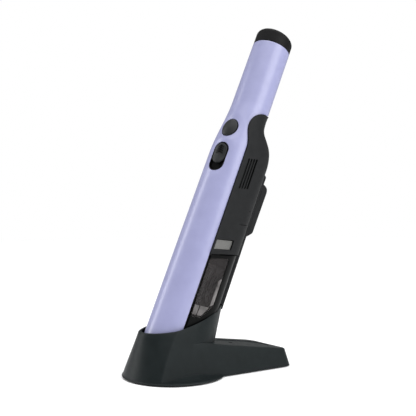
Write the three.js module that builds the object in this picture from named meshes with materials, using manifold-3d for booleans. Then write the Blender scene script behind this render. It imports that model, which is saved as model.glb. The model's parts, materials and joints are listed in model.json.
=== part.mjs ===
// Slim handheld vacuum standing in its charging dock. Millimetres, +Z up.
// The origin is the centre of the dock's round flange, on the floor. The controls face -Y, the tail of
// the dock runs to +Y. The wand leans back by LEAN: inside its group X is across, Y is rearward
// (away from the front shell) and Z is the distance s up the wand's axis.
import * as THREE from 'three';
import { mergeVertices } from 'three/addons/utils/BufferGeometryUtils.js';
import Module from 'manifold-3d';

// ---------------------------------------------------------------- driving dimensions
const LEAN = THREE.MathUtils.degToRad(23);
const AXIS_FOOT_Y = -25.6;          // where the wand's axis meets the floor
const GAP = 0.3;                    // clearance between touching pieces
const RING = 40;                    // facets round a full section

// wand
const WAND_BOTTOM = 27;
const BODY_R = 25;                  // front shell
const HANDLE_R = 22.8;
const HANDLE_SHIFT = 3.75;          // the handle's axis lies this far behind the body's axis
const BLEND_FROM = 258;             // body narrows to handle between these heights
const BLEND_TO = 328;
const SHELL_WALL = 2;
const HANDLE_WALL = 1.5;
const HANDLE_TOP = 407.5;
const CAP_TOP = 424.5;
const CAP_SLANT = 0.1;              // the cap's top falls this much per millimetre towards the rear
const HOUSING_REAR = 42.4;          // rear face of the motor housing and the bin
const CONTROL_TURN = THREE.MathUtils.degToRad(23);   // controls sit round towards the right thumb

// bin and door
const BIN_TOP = 150;
const SEAM_SLOPE = 0.36;            // cross seams rise towards the rear, level with the floor when docked
const WINDOW_FRONT = 3;
const WINDOW_REAR = 28;
const WINDOW_LOW = 73;
const DOOR_LOW = 99.6;
const DOOR_HINGE_S = 256.4;
const DOOR_FRONT = 43.7;
const DOOR_REAR = 48.6;
const DOOR_HALF = 12;
const PAD_REAR = 55.6;

// motor and battery
const MOTOR_Y = 12;
const MOTOR_R = 18;
const CELL_R = 8.9;
const CELL_LENGTH = 65;
const CELL_LOW = 330;
const PACK_R = 21;

// dock
const FLANGE_R = 55.5;
const DOCK_LOW = 1.2;               // underside of the moulding; the feet stand below it
const SIDE_HALF = 39.5;             // half width of the dock's sides at the floor
const SIDE_DRAFT = 0.0048;          // sides draw in by this share per millimetre of height
const DOCK_LEAN = 0.315;            // rearward lean of the collar per millimetre of height
const TAIL_END = 138;
const DOCK_WALL = 2.4;

// ---------------------------------------------------------------- solids
const wasm = await Module();
wasm.setup();

function solid(geometry) {
  const bare = geometry.clone();
  bare.deleteAttribute('normal');
  bare.deleteAttribute('uv');
  const welded = mergeVertices(bare, 1e-4);
  return new wasm.Manifold(new wasm.Mesh({
    numProp: 3,
    vertProperties: welded.attributes.position.array,
    triVerts: welded.index.array,
  }));
}

function surface(manifold) {
  const mesh = manifold.getMesh();
  const geometry = new THREE.BufferGeometry();
  geometry.setAttribute('position', new THREE.BufferAttribute(mesh.vertProperties, 3));
  geometry.setIndex(new THREE.BufferAttribute(mesh.triVerts, 1));
  geometry.computeVertexNormals();
  return geometry;
}

// one geometry cut by, joined to or limited by others
const combine = (how) => (base, ...others) =>
  surface(others.reduce((sum, other) => sum[how](solid(other)), solid(base)));
const cut = combine('subtract');
const join = combine('add');
const keep = combine('intersect');

// a box from its lowest to its highest corner
function box(x0, y0, z0, x1, y1, z1) {
  const geometry = new THREE.BoxGeometry(x1 - x0, y1 - y0, z1 - z0);
  return geometry.translate((x0 + x1) / 2, (y0 + y1) / 2, (z0 + z1) / 2);
}

// an upright cylinder between two heights
function post(radius, low, high, x = 0, y = 0, sides = 24, topRadius = radius) {
  const geometry = new THREE.CylinderGeometry(topRadius, radius, high - low, sides);
  return geometry.rotateX(Math.PI / 2).translate(x, y, (low + high) / 2);
}

// an upright ring turned from its section
function tube(inner, outer, low, high, x = 0, y = 0, sides = 32) {
  const section = [[inner, low], [outer, low], [outer, high], [inner, high], [inner, low]];
  return turned(section, sides).translate(x, y, 0);
}

function turned(section, sides = 32) {
  const points = section.map(([radius, height]) => new THREE.Vector2(radius, height));
  return new THREE.LatheGeometry(points, sides).rotateX(Math.PI / 2);
}

// an outline in X, Y raised between two heights
function raised(plan, low, high, curveSegments = 6) {
  const rise = { depth: high - low, bevelEnabled: false, curveSegments };
  return new THREE.ExtrudeGeometry(plan, rise).translate(0, 0, low);
}

// an outline drawn in the wand's side view (Y, s) and run across from x0 to x1
function across(sidePlan, x0, x1, segments = 6) {
  const geometry = raised(sidePlan, x0, x1, segments);
  const sideView = new THREE.Matrix4().makeBasis(
    new THREE.Vector3(0, 1, 0), new THREE.Vector3(0, 0, 1), new THREE.Vector3(1, 0, 0));
  return geometry.applyMatrix4(sideView);
}

// a closed outline through points; corners are rounded when a radius is given
function outline(points, radius = 0) {
  const shape = new THREE.Shape();
  const count = points.length;
  points.forEach(([x, y], index) => {
    const before = points[(index + count - 1) % count];
    const after = points[(index + 1) % count];
    const corner = new THREE.Vector2(x, y);
    const inward = new THREE.Vector2(...before).sub(corner);
    const outward = new THREE.Vector2(...after).sub(corner);
    const trim = Math.min(radius, inward.length() / 2.1, outward.length() / 2.1);
    const start = corner.clone().addScaledVector(inward.normalize(), trim);
    const end = corner.clone().addScaledVector(outward.normalize(), trim);
    if (index === 0) shape.moveTo(start.x, start.y);
    else shape.lineTo(start.x, start.y);
    if (radius > 0) shape.quadraticCurveTo(x, y, end.x, end.y);
  });
  return shape;
}

function stadium(halfWidth, halfLength, centreX = 0, centreY = 0) {
  const shape = new THREE.Shape();
  const straight = halfLength - halfWidth;
  shape.absarc(centreX, centreY + straight, halfWidth, 0, Math.PI);
  shape.absarc(centreX, centreY - straight, halfWidth, Math.PI, 2 * Math.PI);
  return shape;
}

// a lofted solid: at(angle, height) gives the section's [x, y]; heights is a list of levels
function loft(heights, at, sides = RING) {
  const circle = new THREE.Shape();
  for (let i = 0; i < sides; i++) {
    const angle = (2 * Math.PI * i) / sides;
    if (i === 0) circle.moveTo(1, 0);
    else circle.lineTo(Math.cos(angle), Math.sin(angle));
  }
  const steps = heights.length - 1;
  const geometry = new THREE.ExtrudeGeometry(circle, { depth: steps, steps, bevelEnabled: false });
  const position = geometry.attributes.position;
  for (let i = 0; i < position.count; i++) {
    const angle = Math.atan2(position.getY(i), position.getX(i));
    const turn = Math.round((angle / (2 * Math.PI)) * sides) * (2 * Math.PI / sides);
    const height = heights[Math.round(position.getZ(i))];
    const [x, y, z = height] = at(turn, height);
    position.setXYZ(i, x, y, z);
  }
  return geometry;
}

// ---------------------------------------------------------------- the wand's outer form
const smooth = THREE.MathUtils.smoothstep;

const halfWidth = (s) => BODY_R - (BODY_R - HANDLE_R) * smooth(s, BLEND_FROM, BLEND_TO);
const axisShift = (s) => HANDLE_SHIFT * smooth(s, BLEND_FROM, BLEND_TO);

// rear profile of the housing: full over the motor, hollowed where the finger rests, flared at the tip
const rearProfile = new THREE.SplineCurve([
  [0, HOUSING_REAR], [90, HOUSING_REAR], [180, HOUSING_REAR], [250, HOUSING_REAR], [268, HOUSING_REAR],
  [280, 41.3], [287, 39], [293, 34.6], [299, 28.8], [305, 25.4], [312, 24.2], [318, 24.2],
  [323, 25.4], [329, 28.8], [333, 32],
].map(([s, y]) => new THREE.Vector2(s, y)));

const rearPoints = rearProfile.getPoints(160);

function rearOf(s) {
  const next = rearPoints.findIndex((point) => point.x >= s);
  if (next <= 0) return HOUSING_REAR;
  const [a, b] = [rearPoints[next - 1], rearPoints[next]];
  return a.y + ((b.y - a.y) * (s - a.x)) / (b.x - a.x);
}

// front half a circle, rear half squarer over the motor and round at the handle
function bodySection(inset) {
  return (angle, s) => {
    const width = halfWidth(s) - inset;
    const shift = axisShift(s);
    const [c, d] = [Math.cos(angle), Math.sin(angle)];
    if (d <= 0) return [width * c, shift + width * d];
    const power = 2 / (4 - 2 * smooth(s, 262, 305));
    const depth = rearOf(s) - shift - inset;
    return [width * Math.sign(c) * Math.abs(c) ** power, shift + depth * d ** power];
  };
}

function handleSection(inset) {
  return (angle, s) => {
    const radius = halfWidth(s) - inset;
    return [radius * Math.cos(angle), axisShift(s) + radius * Math.sin(angle)];
  };
}

function levels(low, high, step) {
  const count = Math.max(1, Math.round((high - low) / step));
  return Array.from({ length: count + 1 }, (_, i) => low + ((high - low) * i) / count);
}

const SHELL_LEVELS = [WAND_BOTTOM, BLEND_FROM, ...levels(BLEND_FROM, BLEND_TO, 14).slice(1), HANDLE_TOP];
const HOUSING_LEVELS = [BIN_TOP - 14, 264, 278, 285, 290, 295, 300, 306, 312, 319, 324, 328, 333];

// side-view line where the front shell meets the rear pieces, swept up and back over the finger rest
function partingRegion(offset) {
  const shape = new THREE.Shape();
  shape.moveTo(offset, 0);
  shape.lineTo(offset, 272);
  shape.bezierCurveTo(offset, 282, -5.6 + offset, 288, -5.6 + offset, 298);
  shape.bezierCurveTo(-5.6 + offset, 308, 1 + offset, 320 - offset, 16, 321.8 - offset);
  shape.quadraticCurveTo(24, 323.5 - offset, 40, 339 - offset);
  shape.lineTo(70, 339 - offset);
  shape.lineTo(70, 0);
  return across(shape, -60, 60, 10);
}

// ---------------------------------------------------------------- materials
function finish(colour, roughness, metalness = 0) {
  return new THREE.MeshStandardMaterial({ color: colour, roughness, metalness });
}

const LAVENDER = finish(0xb3b3de, 0.32);
const CHARCOAL = finish(0x35383a, 0.55);
const BLACK = finish(0x17191a, 0.45);
const DOCK_BLACK = finish(0x2c3131, 0.5);
const SMOKE = finish(0x6b6966, 0.15);
const SILVER = finish(0xb9babb, 0.35, 0.6);
const STEEL = finish(0xc4c7ca, 0.3, 1);
const COPPER = finish(0xc9a35a, 0.35, 1);
const BOARD = finish(0x1f5a3a, 0.6);
const FELT = finish(0xd8d6d0, 0.95);
const RUBBER = finish(0x1c1d1e, 0.85);
const CELL_WRAP = finish(0x2d6e9e, 0.5);

const vacuum = new THREE.Group();
const wand = new THREE.Group();
wand.position.y = AXIS_FOOT_Y;
wand.rotation.x = -LEAN;
const controls = new THREE.Group();
controls.rotation.z = CONTROL_TURN;
wand.add(controls);
const dock = new THREE.Group();
vacuum.add(dock, wand);

function piece(group, name, geometry, material) {
  const mesh = new THREE.Mesh(geometry, material);
  mesh.name = name;
  group.add(mesh);
  return mesh;
}

// ---------------------------------------------------------------- front shell and nozzle
const BUTTON_S = 289;
const BUTTON_HALF = 10.2;
const SLIDER_S = 252.5;
const SLIDER_HALF_WIDTH = 9;
const SLIDER_HALF_LENGTH = 17.5;

// an outline drawn on the controls' tangent plane (X, s), run through the shell from depth a to b
function radial(shape, a, b, segments = 8) {
  return raised(shape, a, b, segments).rotateX(Math.PI / 2);
}

const turnedToControls = (geometry) => geometry.clone().rotateZ(CONTROL_TURN);

const ellipse = (a, b, s) => new THREE.Shape().absellipse(0, s, a, b, 0, 2 * Math.PI);

function frontShell() {
  const outer = loft(SHELL_LEVELS, handleSection(0));
  const lowBore = loft([WAND_BOTTOM - 2, BLEND_FROM, 275, 293, 326], handleSection(SHELL_WALL), 32);
  const topBore = post(HANDLE_R - HANDLE_WALL, 320, HANDLE_TOP + 2, 0, HANDLE_SHIFT, RING);
  const buttonHole = turnedToControls(radial(ellipse(BUTTON_HALF + GAP, 11.3 + GAP, BUTTON_S), 12, 40));
  const slider = stadium(SLIDER_HALF_WIDTH + 1, SLIDER_HALF_LENGTH + 1, 0, SLIDER_S);
  const sliderHole = turnedToControls(radial(slider, 12, 40));
  return cut(outer, lowBore, topBore, partingRegion(-GAP / 2), buttonHole, sliderHole);
}

piece(wand, 'front_shell', frontShell(), LAVENDER);

// the mouth fits inside the lower end of the front shell and feeds the duct
const DUCT_R = BODY_R - SHELL_WALL - GAP;
function halfRound(radius, low, high, back) {
  return keep(post(radius, low, high, 0, 0, RING), box(-40, -40, low, 40, back, high));
}

const NOZZLE_WALL = 2;
const NOZZLE_TOP = 60;
const nozzleBore = halfRound(DUCT_R - NOZZLE_WALL, 20, 70, -3);
piece(wand, 'nozzle', cut(halfRound(DUCT_R, WAND_BOTTOM, NOZZLE_TOP, -1), nozzleBore), BLACK);

const lipOuter = halfRound(DUCT_R - NOZZLE_WALL - GAP, WAND_BOTTOM + 1, 37, -3 - GAP);
piece(wand, 'nozzle_seal', cut(lipOuter, halfRound(DUCT_R - 4, 20, 40, -5)), RUBBER);

const DUCT_TOP = 142;
function inletDuct() {
  const outer = halfRound(DUCT_R, NOZZLE_TOP + GAP, DUCT_TOP, -1);
  const bore = halfRound(DUCT_R - 1.6, 50, DUCT_TOP - 2, -2.6);
  const port = box(-14, -8, 108, 14, 4, 134);
  return cut(outer, bore, port);
}
piece(wand, 'inlet_duct', inletDuct(), BLACK);

// ---------------------------------------------------------------- dust bin
// side-view window of the bin with its bevelled lower corner
function windowOutline(grow) {
  return outline([
    [WINDOW_FRONT - grow, WINDOW_LOW - grow], [16 + grow * 0.5, WINDOW_LOW + 1.5 - grow],
    [WINDOW_REAR + grow, 91 - grow * 0.5], [WINDOW_REAR + grow, BIN_TOP - 2.5 + grow],
    [WINDOW_FRONT - grow, BIN_TOP - 11.5 + grow],
  ], 3);
}

// everything below the sloping seam between the bin and the motor housing
function belowSeam(offset) {
  const seamAt = (y) => 142 + SEAM_SLOPE * y + offset;
  return across(outline([[-40, 0], [80, 0], [80, seamAt(80)], [-40, seamAt(-40)]]), -60, 60);
}

const BIN_LEVELS = [WAND_BOTTOM + 4, 175];
const behind = (y) => box(-60, y, 0, 60, 80, 500);
const binHull = (inset) => loft(BIN_LEVELS, bodySection(inset));
const doorway = box(-9.5, 30, 106, 9.5, 60, 147);

function binFrame() {
  const hull = keep(binHull(0), behind(GAP / 2), belowSeam(-GAP / 2));
  const hollow = keep(loft([WAND_BOTTOM + 6.5, 180], bodySection(2)), behind(-5));
  return cut(hull, hollow, across(windowOutline(0), -60, 60), doorway);
}
piece(wand, 'bin_frame', binFrame(), BLACK);

function dustCup() {
  const linerOuter = keep(loft([WAND_BOTTOM + 6.8, 147], bodySection(2 + GAP)), behind(GAP));
  const panes = keep(binHull(0.5), across(windowOutline(-GAP), -60, 60));
  const linerBore = keep(loft([WAND_BOTTOM + 8.4, 160], bodySection(3.8)), behind(1.8));
  const body = surface(solid(linerOuter).add(solid(panes)).subtract(solid(linerBore)));
  return cut(body, box(-14, -5, 106, 14, 5, 136), doorway);
}
piece(wand, 'dust_cup', dustCup(), SMOKE);

const CUP_WALL = 4.2;
piece(wand, 'bin_divider', box(-BODY_R + 7, 10.4, 38, BODY_R - 7, 11.8, 86), BLACK);

function filterFrame() {
  const plate = loft([136, 146], bodySection(CUP_WALL), 28);
  const bore = post(12, 130, 150, 0, 16, 24);
  const slots = levels(-10, 10, 5).map((x) => box(x - 1, 29.5, 130, x + 1, 34, 150));
  return cut(keep(plate, behind(2.2)), bore, ...slots, box(-12, 35.8, 130, 12, 60, 150));
}
piece(wand, 'filter_frame', filterFrame(), BLACK);

// the cone-shaped screen and the felt sleeve inside it hang from the filter frame
const FILTER_Y = 16;
const cone = (lowR, topR, low, high) => post(lowR, low, high, 0, FILTER_Y, 20, topR);
piece(wand, 'filter_screen', cut(cone(8.4, 11.6, 92, 146), cone(7.4, 10.6, 94, 147)), STEEL);
piece(wand, 'filter_felt', cut(cone(6.6, 9.8, 98, 145), cone(3.5, 6, 104, 146)), FELT);

// badge plates on both sides, parallel to the seam, without any marking
function badgeOutline(grow) {
  return outline([
    [2.6 - grow, 149 - grow], [24 + grow, 156.2 - grow],
    [24 + grow, 167.2 + grow], [2.6 - grow, 160.3 + grow],
  ], 0.8);
}

// ---------------------------------------------------------------- motor housing
const VENT_PITCH = 3.55;
const VENT_LENGTH = 37;
function ventSlots() {
  return levels(7.6, 7.6 + 3 * VENT_PITCH, VENT_PITCH).map((y) => {
    const low = 221.2 + SEAM_SLOPE * y;
    return box(-60, y - 0.75, low, 60, y + 0.75, low + VENT_LENGTH);
  });
}

const PIN_Y = (DOOR_FRONT + DOOR_REAR) / 2;
function rearHousing() {
  const region = partingRegion(GAP / 2);
  const hull = keep(loft(HOUSING_LEVELS, bodySection(0)), region);
  const hollow = loft([120, 264, 280, 288, 296, 304, 314, 340], bodySection(SHELL_WALL), 28);
  const clearOfHandle = post(HANDLE_R - HANDLE_WALL + 0.01, 318, 345, 0, HANDLE_SHIFT, RING);
  const badges = keep(across(badgeOutline(GAP), -60, 60), box(-60, 0, 140, 60, 40, 180));
  const inner = loft([140, 180], bodySection(1.1));
  const shell = solid(hull)
    .subtract(solid(hollow)).subtract(solid(clearOfHandle)).subtract(solid(belowSeam(GAP / 2)))
    .subtract(solid(badges).subtract(solid(inner)));
  const body = ventSlots().reduce((sum, slot) => sum.subtract(solid(slot)), shell);
  return surface([-1, 1].reduce((sum, side) => {
    const ear = across(new THREE.Shape().absarc(PIN_Y, DOOR_HINGE_S, 2.45, 0, 2 * Math.PI), 7.4, 10.8, 10);
    const stem = box(7.4, 39, DOOR_HINGE_S - 2.4, 10.8, PIN_Y, DOOR_HINGE_S + 2.4);
    const hole = across(new THREE.Shape().absarc(PIN_Y, DOOR_HINGE_S, 1.25, 0, 2 * Math.PI), 7, 11.2, 8);
    const lug = solid(side > 0 ? stem : stem.clone().translate(-18.2, 0, 0))
      .add(solid(side > 0 ? ear : ear.clone().translate(-18.2, 0, 0)))
      .subtract(solid(side > 0 ? hole : hole.clone().translate(-18.2, 0, 0)));
    return sum.add(lug);
  }, body));
}
piece(wand, 'rear_housing', rearHousing(), CHARCOAL);

const sides = [['right', 1], ['left', -1]];
for (const [side, sign] of sides) {
  const slab = sign > 0 ? across(badgeOutline(0), 0, 60) : across(badgeOutline(0), -60, 0);
  const skin = keep(loft([140, 180], bodySection(-0.25)), slab);
  piece(wand, `badge_plate_${side}`, cut(skin, loft([130, 190], bodySection(0.8))), SILVER);
}

// ---------------------------------------------------------------- bin door, pad, hinge
function bar(front, rear, low, high) {
  const shape = new THREE.Shape();
  const radius = (rear - front) / 2;
  shape.moveTo(front, low);
  shape.lineTo(rear - 1.5, low);
  shape.lineTo(rear, low + 2.5);
  shape.lineTo(rear, high);
  shape.absarc(front + radius, high, radius, 0, Math.PI);
  return shape;
}

function binDoor() {
  const leaf = across(bar(DOOR_FRONT, DOOR_REAR, DOOR_LOW, DOOR_HINGE_S), -DOOR_HALF, DOOR_HALF, 8);
  const plug = box(-9, 38.8, 106.6, 9, DOOR_FRONT + 1, 146.4);
  const notches = [-1, 1].map((side) => box(side * 9.1 - 2.1, 40, 252, side * 9.1 + 2.1, 52, 262));
  const pinHole = across(new THREE.Shape().absarc(PIN_Y, DOOR_HINGE_S, 1.25, 0, 2 * Math.PI), -20, 20, 8);
  const tips = [-1, 1].map((side) => box(side * 14 - 2.9, 40, 252, side * 14 + 2.9, 52, 262));
  return cut(join(leaf, plug), ...notches, ...tips, pinHole);
}
piece(wand, 'bin_door', binDoor(), CHARCOAL);

const PAD_SIDE = outline([
  [DOOR_REAR + GAP, 180.5], [PAD_REAR - 1, 189], [PAD_REAR, 196],
  [PAD_REAR + 0.4, 241], [PAD_REAR - 3.8, 249.2], [DOOR_REAR + GAP, 251],
], 3);
const PAD_BACK = stadium(DOOR_HALF - 0.4, 36, 0, 215.5);
piece(wand, 'door_pad',
  keep(across(PAD_SIDE, -DOOR_HALF, DOOR_HALF, 6), radial(PAD_BACK, -70, -40, 8)), CHARCOAL);
piece(wand, 'door_seal',
  cut(box(-8.9, 37.2, 106.8, 8.9, 38.5, 146.2), box(-6.9, 36, 109, 6.9, 40, 144)), RUBBER);
piece(wand, 'door_hinge_pin',
  across(new THREE.Shape().absarc(PIN_Y, DOOR_HINGE_S, 0.95, 0, 2 * Math.PI), -11, 11, 8), STEEL);

// ---------------------------------------------------------------- controls
const BUTTON_FACE = 24.6;
const BUTTON_RISE = 11.3;           // half height of the oval button
const BUTTON_TRAVEL = 1.5;
const SWITCH_DEPTH = 14.3;          // how far the switch stands from the wand's axis
function powerButton() {
  const skirt = radial(ellipse(BUTTON_HALF, BUTTON_RISE, BUTTON_S), 18.5, 22.4);
  const crown = radial(ellipse(BUTTON_HALF, BUTTON_RISE, BUTTON_S), 22.4, BUTTON_FACE);
  const dome = new THREE.SphereGeometry(1, 24, 12).scale(16, 8, 18);
  const plunger = radial(ellipse(3, 3, BUTTON_S), SWITCH_DEPTH + BUTTON_TRAVEL + GAP, 19);
  return join(skirt, keep(crown, dome.translate(0, -BUTTON_FACE + 7.2, BUTTON_S)), plunger);
}
piece(controls, 'power_button', powerButton(), BLACK);

const BEZEL_FLOOR = 19.5;           // depth of the slider's well from the wand's axis
const SPRING_FOOT = 236.4;
function sliderBezel() {
  const ring = stadium(SLIDER_HALF_WIDTH + 0.7, SLIDER_HALF_LENGTH + 0.7, 0, SLIDER_S);
  const opening = stadium(SLIDER_HALF_WIDTH - 0.6, SLIDER_HALF_LENGTH - 0.6, 0, SLIDER_S);
  const cupped = keep(radial(ring, BEZEL_FLOOR - 2, 40), loft([225, 280], handleSection(0.2)));
  const tongueSlot = radial(stadium(2.6, 10.6, 0, SLIDER_S - 0.5), 10, 25);
  const springSeat = box(-2.4, -18.5, SPRING_FOOT - 1.6, 2.4, -13.4, SPRING_FOOT - GAP);
  return join(cut(cupped, radial(opening, BEZEL_FLOOR, 45), tongueSlot), springSeat);
}
piece(controls, 'slider_bezel', sliderBezel(), BLACK);

const SLIDER_TRAVEL = 8;
function ejectSlider() {
  const half = SLIDER_HALF_LENGTH - 1.6 - SLIDER_TRAVEL / 2;
  const pad = stadium(SLIDER_HALF_WIDTH - 1.1, half, 0, SLIDER_S + SLIDER_TRAVEL / 2);
  const top = keep(radial(pad, BEZEL_FLOOR + 0.5, 40), loft([225, 285], handleSection(-0.7)));
  const ribs = levels(254, 264, 2.5).map((s) => box(-20, -27, s - 0.45, 20, -24.9, s + 0.45));
  const tongue = box(-2.1, -21, SLIDER_S, 2.1, -13.6, SLIDER_S + 7);
  return join(cut(top, ...ribs), tongue);
}
piece(controls, 'eject_slider', ejectSlider(), BLACK);

piece(controls, 'control_board', box(-11, -12.6, 243, 11, -11, 304), BOARD);
piece(controls, 'power_switch',
  box(-3.2, -SWITCH_DEPTH, BUTTON_S - 3.2, 3.2, -12.9, BUTTON_S + 3.2), STEEL);

// a helical spring of a few turns
function helix(radius, wire, turns, low, high, stepsPerTurn = 8) {
  const points = levels(0, turns, 1 / stepsPerTurn).map((turn) => {
    const angle = 2 * Math.PI * turn;
    const height = low + ((high - low) * turn) / turns;
    return new THREE.Vector3(radius * Math.cos(angle), radius * Math.sin(angle), height);
  });
  const path = new THREE.CatmullRomCurve3(points);
  const section = new THREE.Shape();
  for (let i = 0; i < 5; i++) {
    const angle = (2 * Math.PI * i) / 5;
    if (i === 0) section.moveTo(wire, 0);
    else section.lineTo(wire * Math.cos(angle), wire * Math.sin(angle));
  }
  const steps = turns * stepsPerTurn;
  return new THREE.ExtrudeGeometry(section, { steps, bevelEnabled: false, extrudePath: path });
}

const slideSpring = helix(1.4, 0.3, 5, SPRING_FOOT + 0.3, SLIDER_S - 0.6, 6);
piece(controls, 'slider_spring', slideSpring.translate(0, -15.4, 0), STEEL);

// ---------------------------------------------------------------- motor and fan
const FAN_LOW = 176;
const FAN_BLADES = 9;
const MOTOR_PORTS = 6;
const turns = (count) => levels(0, count - 1, 1).map((i) => (2 * Math.PI * i) / count);
piece(wand, 'motor_filter', loft([158, 166], bodySection(SHELL_WALL + 1.2), 24), FELT);
function fanShroud() {
  const shell = tube(20.2, 21.8, 170, 192, 0, MOTOR_Y, 24);
  const plate = tube(8, 21, 170, 171.6, 0, MOTOR_Y, 24);
  return join(shell, plate);
}
piece(wand, 'fan_shroud', fanShroud(), BLACK);

function impeller() {
  const hub = turned([
    [0, FAN_LOW], [6, FAN_LOW], [6.8, FAN_LOW + 5], [19, FAN_LOW + 9],
    [19, FAN_LOW + 10.4], [0, FAN_LOW + 10.4],
  ], 20);
  const blade = box(6, -0.5, FAN_LOW + 1, 18.6, 0.5, FAN_LOW + 9.6).rotateZ(-0.35);
  const blades = turns(FAN_BLADES).map((angle) => blade.clone().rotateZ(angle));
  return cut(join(hub, ...blades), post(2.3, 170, 195, 0, 0, 16)).translate(0, MOTOR_Y, 0);
}
piece(wand, 'impeller', impeller(), CHARCOAL);
piece(wand, 'motor_shaft', post(2, FAN_LOW + 0.5, 236, 0, MOTOR_Y, 16), STEEL);

function motorCan() {
  const can = post(MOTOR_R, 194, 234, 0, MOTOR_Y, 24);
  const port = box(8, -2.5, 190, 14, 2.5, 198);
  const ports = turns(MOTOR_PORTS).map((angle) => port.clone().rotateZ(angle).translate(0, MOTOR_Y, 0));
  return cut(can, post(2.4, 180, 250, 0, MOTOR_Y, 16), post(15.5, 196, 230, 0, MOTOR_Y, 20), ...ports);
}
piece(wand, 'motor_can', motorCan(), STEEL);
piece(wand, 'motor_winding', tube(8, 15, 199, 227, 0, MOTOR_Y, 16), COPPER);
piece(wand, 'motor_mount', tube(MOTOR_R + GAP, 21.8, 205, 213, 0, MOTOR_Y, 24), RUBBER);
const CRADLE_SCREW = [17, 18];
function motorCradle() {
  const plate = keep(loft([238, 242], bodySection(SHELL_WALL + 0.5), 28), behind(-6));
  const holes = [-1, 1].map((side) => post(1.5, 230, 250, side * CRADLE_SCREW[0], CRADLE_SCREW[1], 12));
  return cut(plate, post(10, 230, 250, 0, MOTOR_Y, 24), ...holes);
}
piece(wand, 'motor_cradle', motorCradle(), BLACK);

// ---------------------------------------------------------------- handle: battery pack and cap
const PACK_LOW = 326;
function batteryCase() {
  const outer = post(PACK_R, PACK_LOW, HANDLE_TOP + 2, 0, HANDLE_SHIFT, RING);
  const bore = post(PACK_R - 1.2, PACK_LOW + 1.5, HANDLE_TOP + 5, 0, HANDLE_SHIFT, RING);
  const contactSlot = box(-6, -1, PACK_LOW - 2, 6, 7, PACK_LOW + 4);
  return cut(outer, bore, contactSlot);
}
piece(wand, 'battery_case', batteryCase(), BLACK);

// three round cells stand in a triangle, their tops ending in a small terminal
const CELL_PITCH = (2 * CELL_R + 0.35) / Math.sqrt(3);
const CELL_TOP = CELL_LOW + CELL_LENGTH;
const CELL_EDGE = 0.8;
const cellSection = [
  [0, CELL_LOW], [CELL_R - CELL_EDGE, CELL_LOW], [CELL_R, CELL_LOW + CELL_EDGE],
  [CELL_R, CELL_TOP - 1 - CELL_EDGE], [CELL_R - CELL_EDGE, CELL_TOP - 1],
  [3, CELL_TOP - 1], [3, CELL_TOP], [0, CELL_TOP],
];
turns(3).forEach((angle, index) => {
  const [x, y] = [CELL_PITCH * Math.sin(angle), HANDLE_SHIFT + CELL_PITCH * Math.cos(angle)];
  piece(wand, `battery_cell_${index + 1}`, turned(cellSection, 16).translate(x, y, 0), CELL_WRAP);
});
piece(wand, 'battery_board', post(17.5, CELL_TOP + 1, CELL_TOP + 2.6, 0, HANDLE_SHIFT, 28), BOARD);

const LATCH_HALF = 6;
const CAP_EDGE = 6;                 // rounding of the cap's upper edge
function slanted(geometry) {
  const position = geometry.attributes.position;
  for (let i = 0; i < position.count; i++) {
    const rise = (position.getZ(i) - HANDLE_TOP) / (CAP_TOP - HANDLE_TOP);
    position.setZ(i, position.getZ(i) - CAP_SLANT * rise * (position.getY(i) - HANDLE_SHIFT));
  }
  return geometry;
}

function batteryCap() {
  const skirt = HANDLE_R - 0.1;
  const edge = levels(0, 75, 25).map((degrees) => {
    const angle = THREE.MathUtils.degToRad(degrees);
    return [skirt - CAP_EDGE + CAP_EDGE * Math.cos(angle), CAP_TOP - CAP_EDGE + CAP_EDGE * Math.sin(angle)];
  });
  const crown = [[skirt - 8, CAP_TOP + 0.2], [0, CAP_TOP + 1]];
  const profile = [[0, HANDLE_TOP + GAP], [skirt, HANDLE_TOP + GAP], ...edge, ...crown];
  const body = slanted(turned(profile, RING).translate(0, HANDLE_SHIFT, 0));
  const hollow = post(PACK_R + GAP, HANDLE_TOP - 2, HANDLE_TOP + 6, 0, HANDLE_SHIFT, 28);
  const socket = box(-LATCH_HALF - GAP, HANDLE_SHIFT + 17.4, 400, LATCH_HALF + GAP, 40, 417.4);
  return cut(body, hollow, socket);
}
piece(wand, 'battery_cap', batteryCap(), BLACK);
piece(wand, 'battery_latch',
  keep(box(-LATCH_HALF, HANDLE_SHIFT + 20.2, 409.9, LATCH_HALF, 30, 416.9),
    post(HANDLE_R + 0.7, 400, 430, 0, HANDLE_SHIFT, RING)), CHARCOAL);

function contactBlock() {
  const base = post(HANDLE_R - 4.6, 316.5, 320, 0, HANDLE_SHIFT - 0.6, 28);
  const tower = box(-5, 0, 319, 5, 6, PACK_LOW + 3);
  return join(base, tower);
}
piece(wand, 'battery_socket', contactBlock(), BLACK);

// ---------------------------------------------------------------- wand fasteners and charge contacts
function screw(x, y, low, length) {
  return join(post(1.2, low, low + length, x, y, 8), post(2.6, low + length, low + length + 2, x, y, 10));
}
for (const [side, sign] of sides) {
  piece(wand, `cradle_screw_${side}`, screw(sign * CRADLE_SCREW[0], CRADLE_SCREW[1], 235, 7.3), STEEL);
  piece(wand, `charge_contact_${side}`,
    box(sign * 6 - 3, 20, WAND_BOTTOM + 2.9, sign * 6 + 3, 30, WAND_BOTTOM + 3.7), COPPER);
}

// ---------------------------------------------------------------- dock
const dockLean = (z) => DOCK_LEAN * z;
const sideScale = (z) => 1 - SIDE_DRAFT * z;
const cornerLag = (z) => 0.0037 * z * z;

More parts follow.
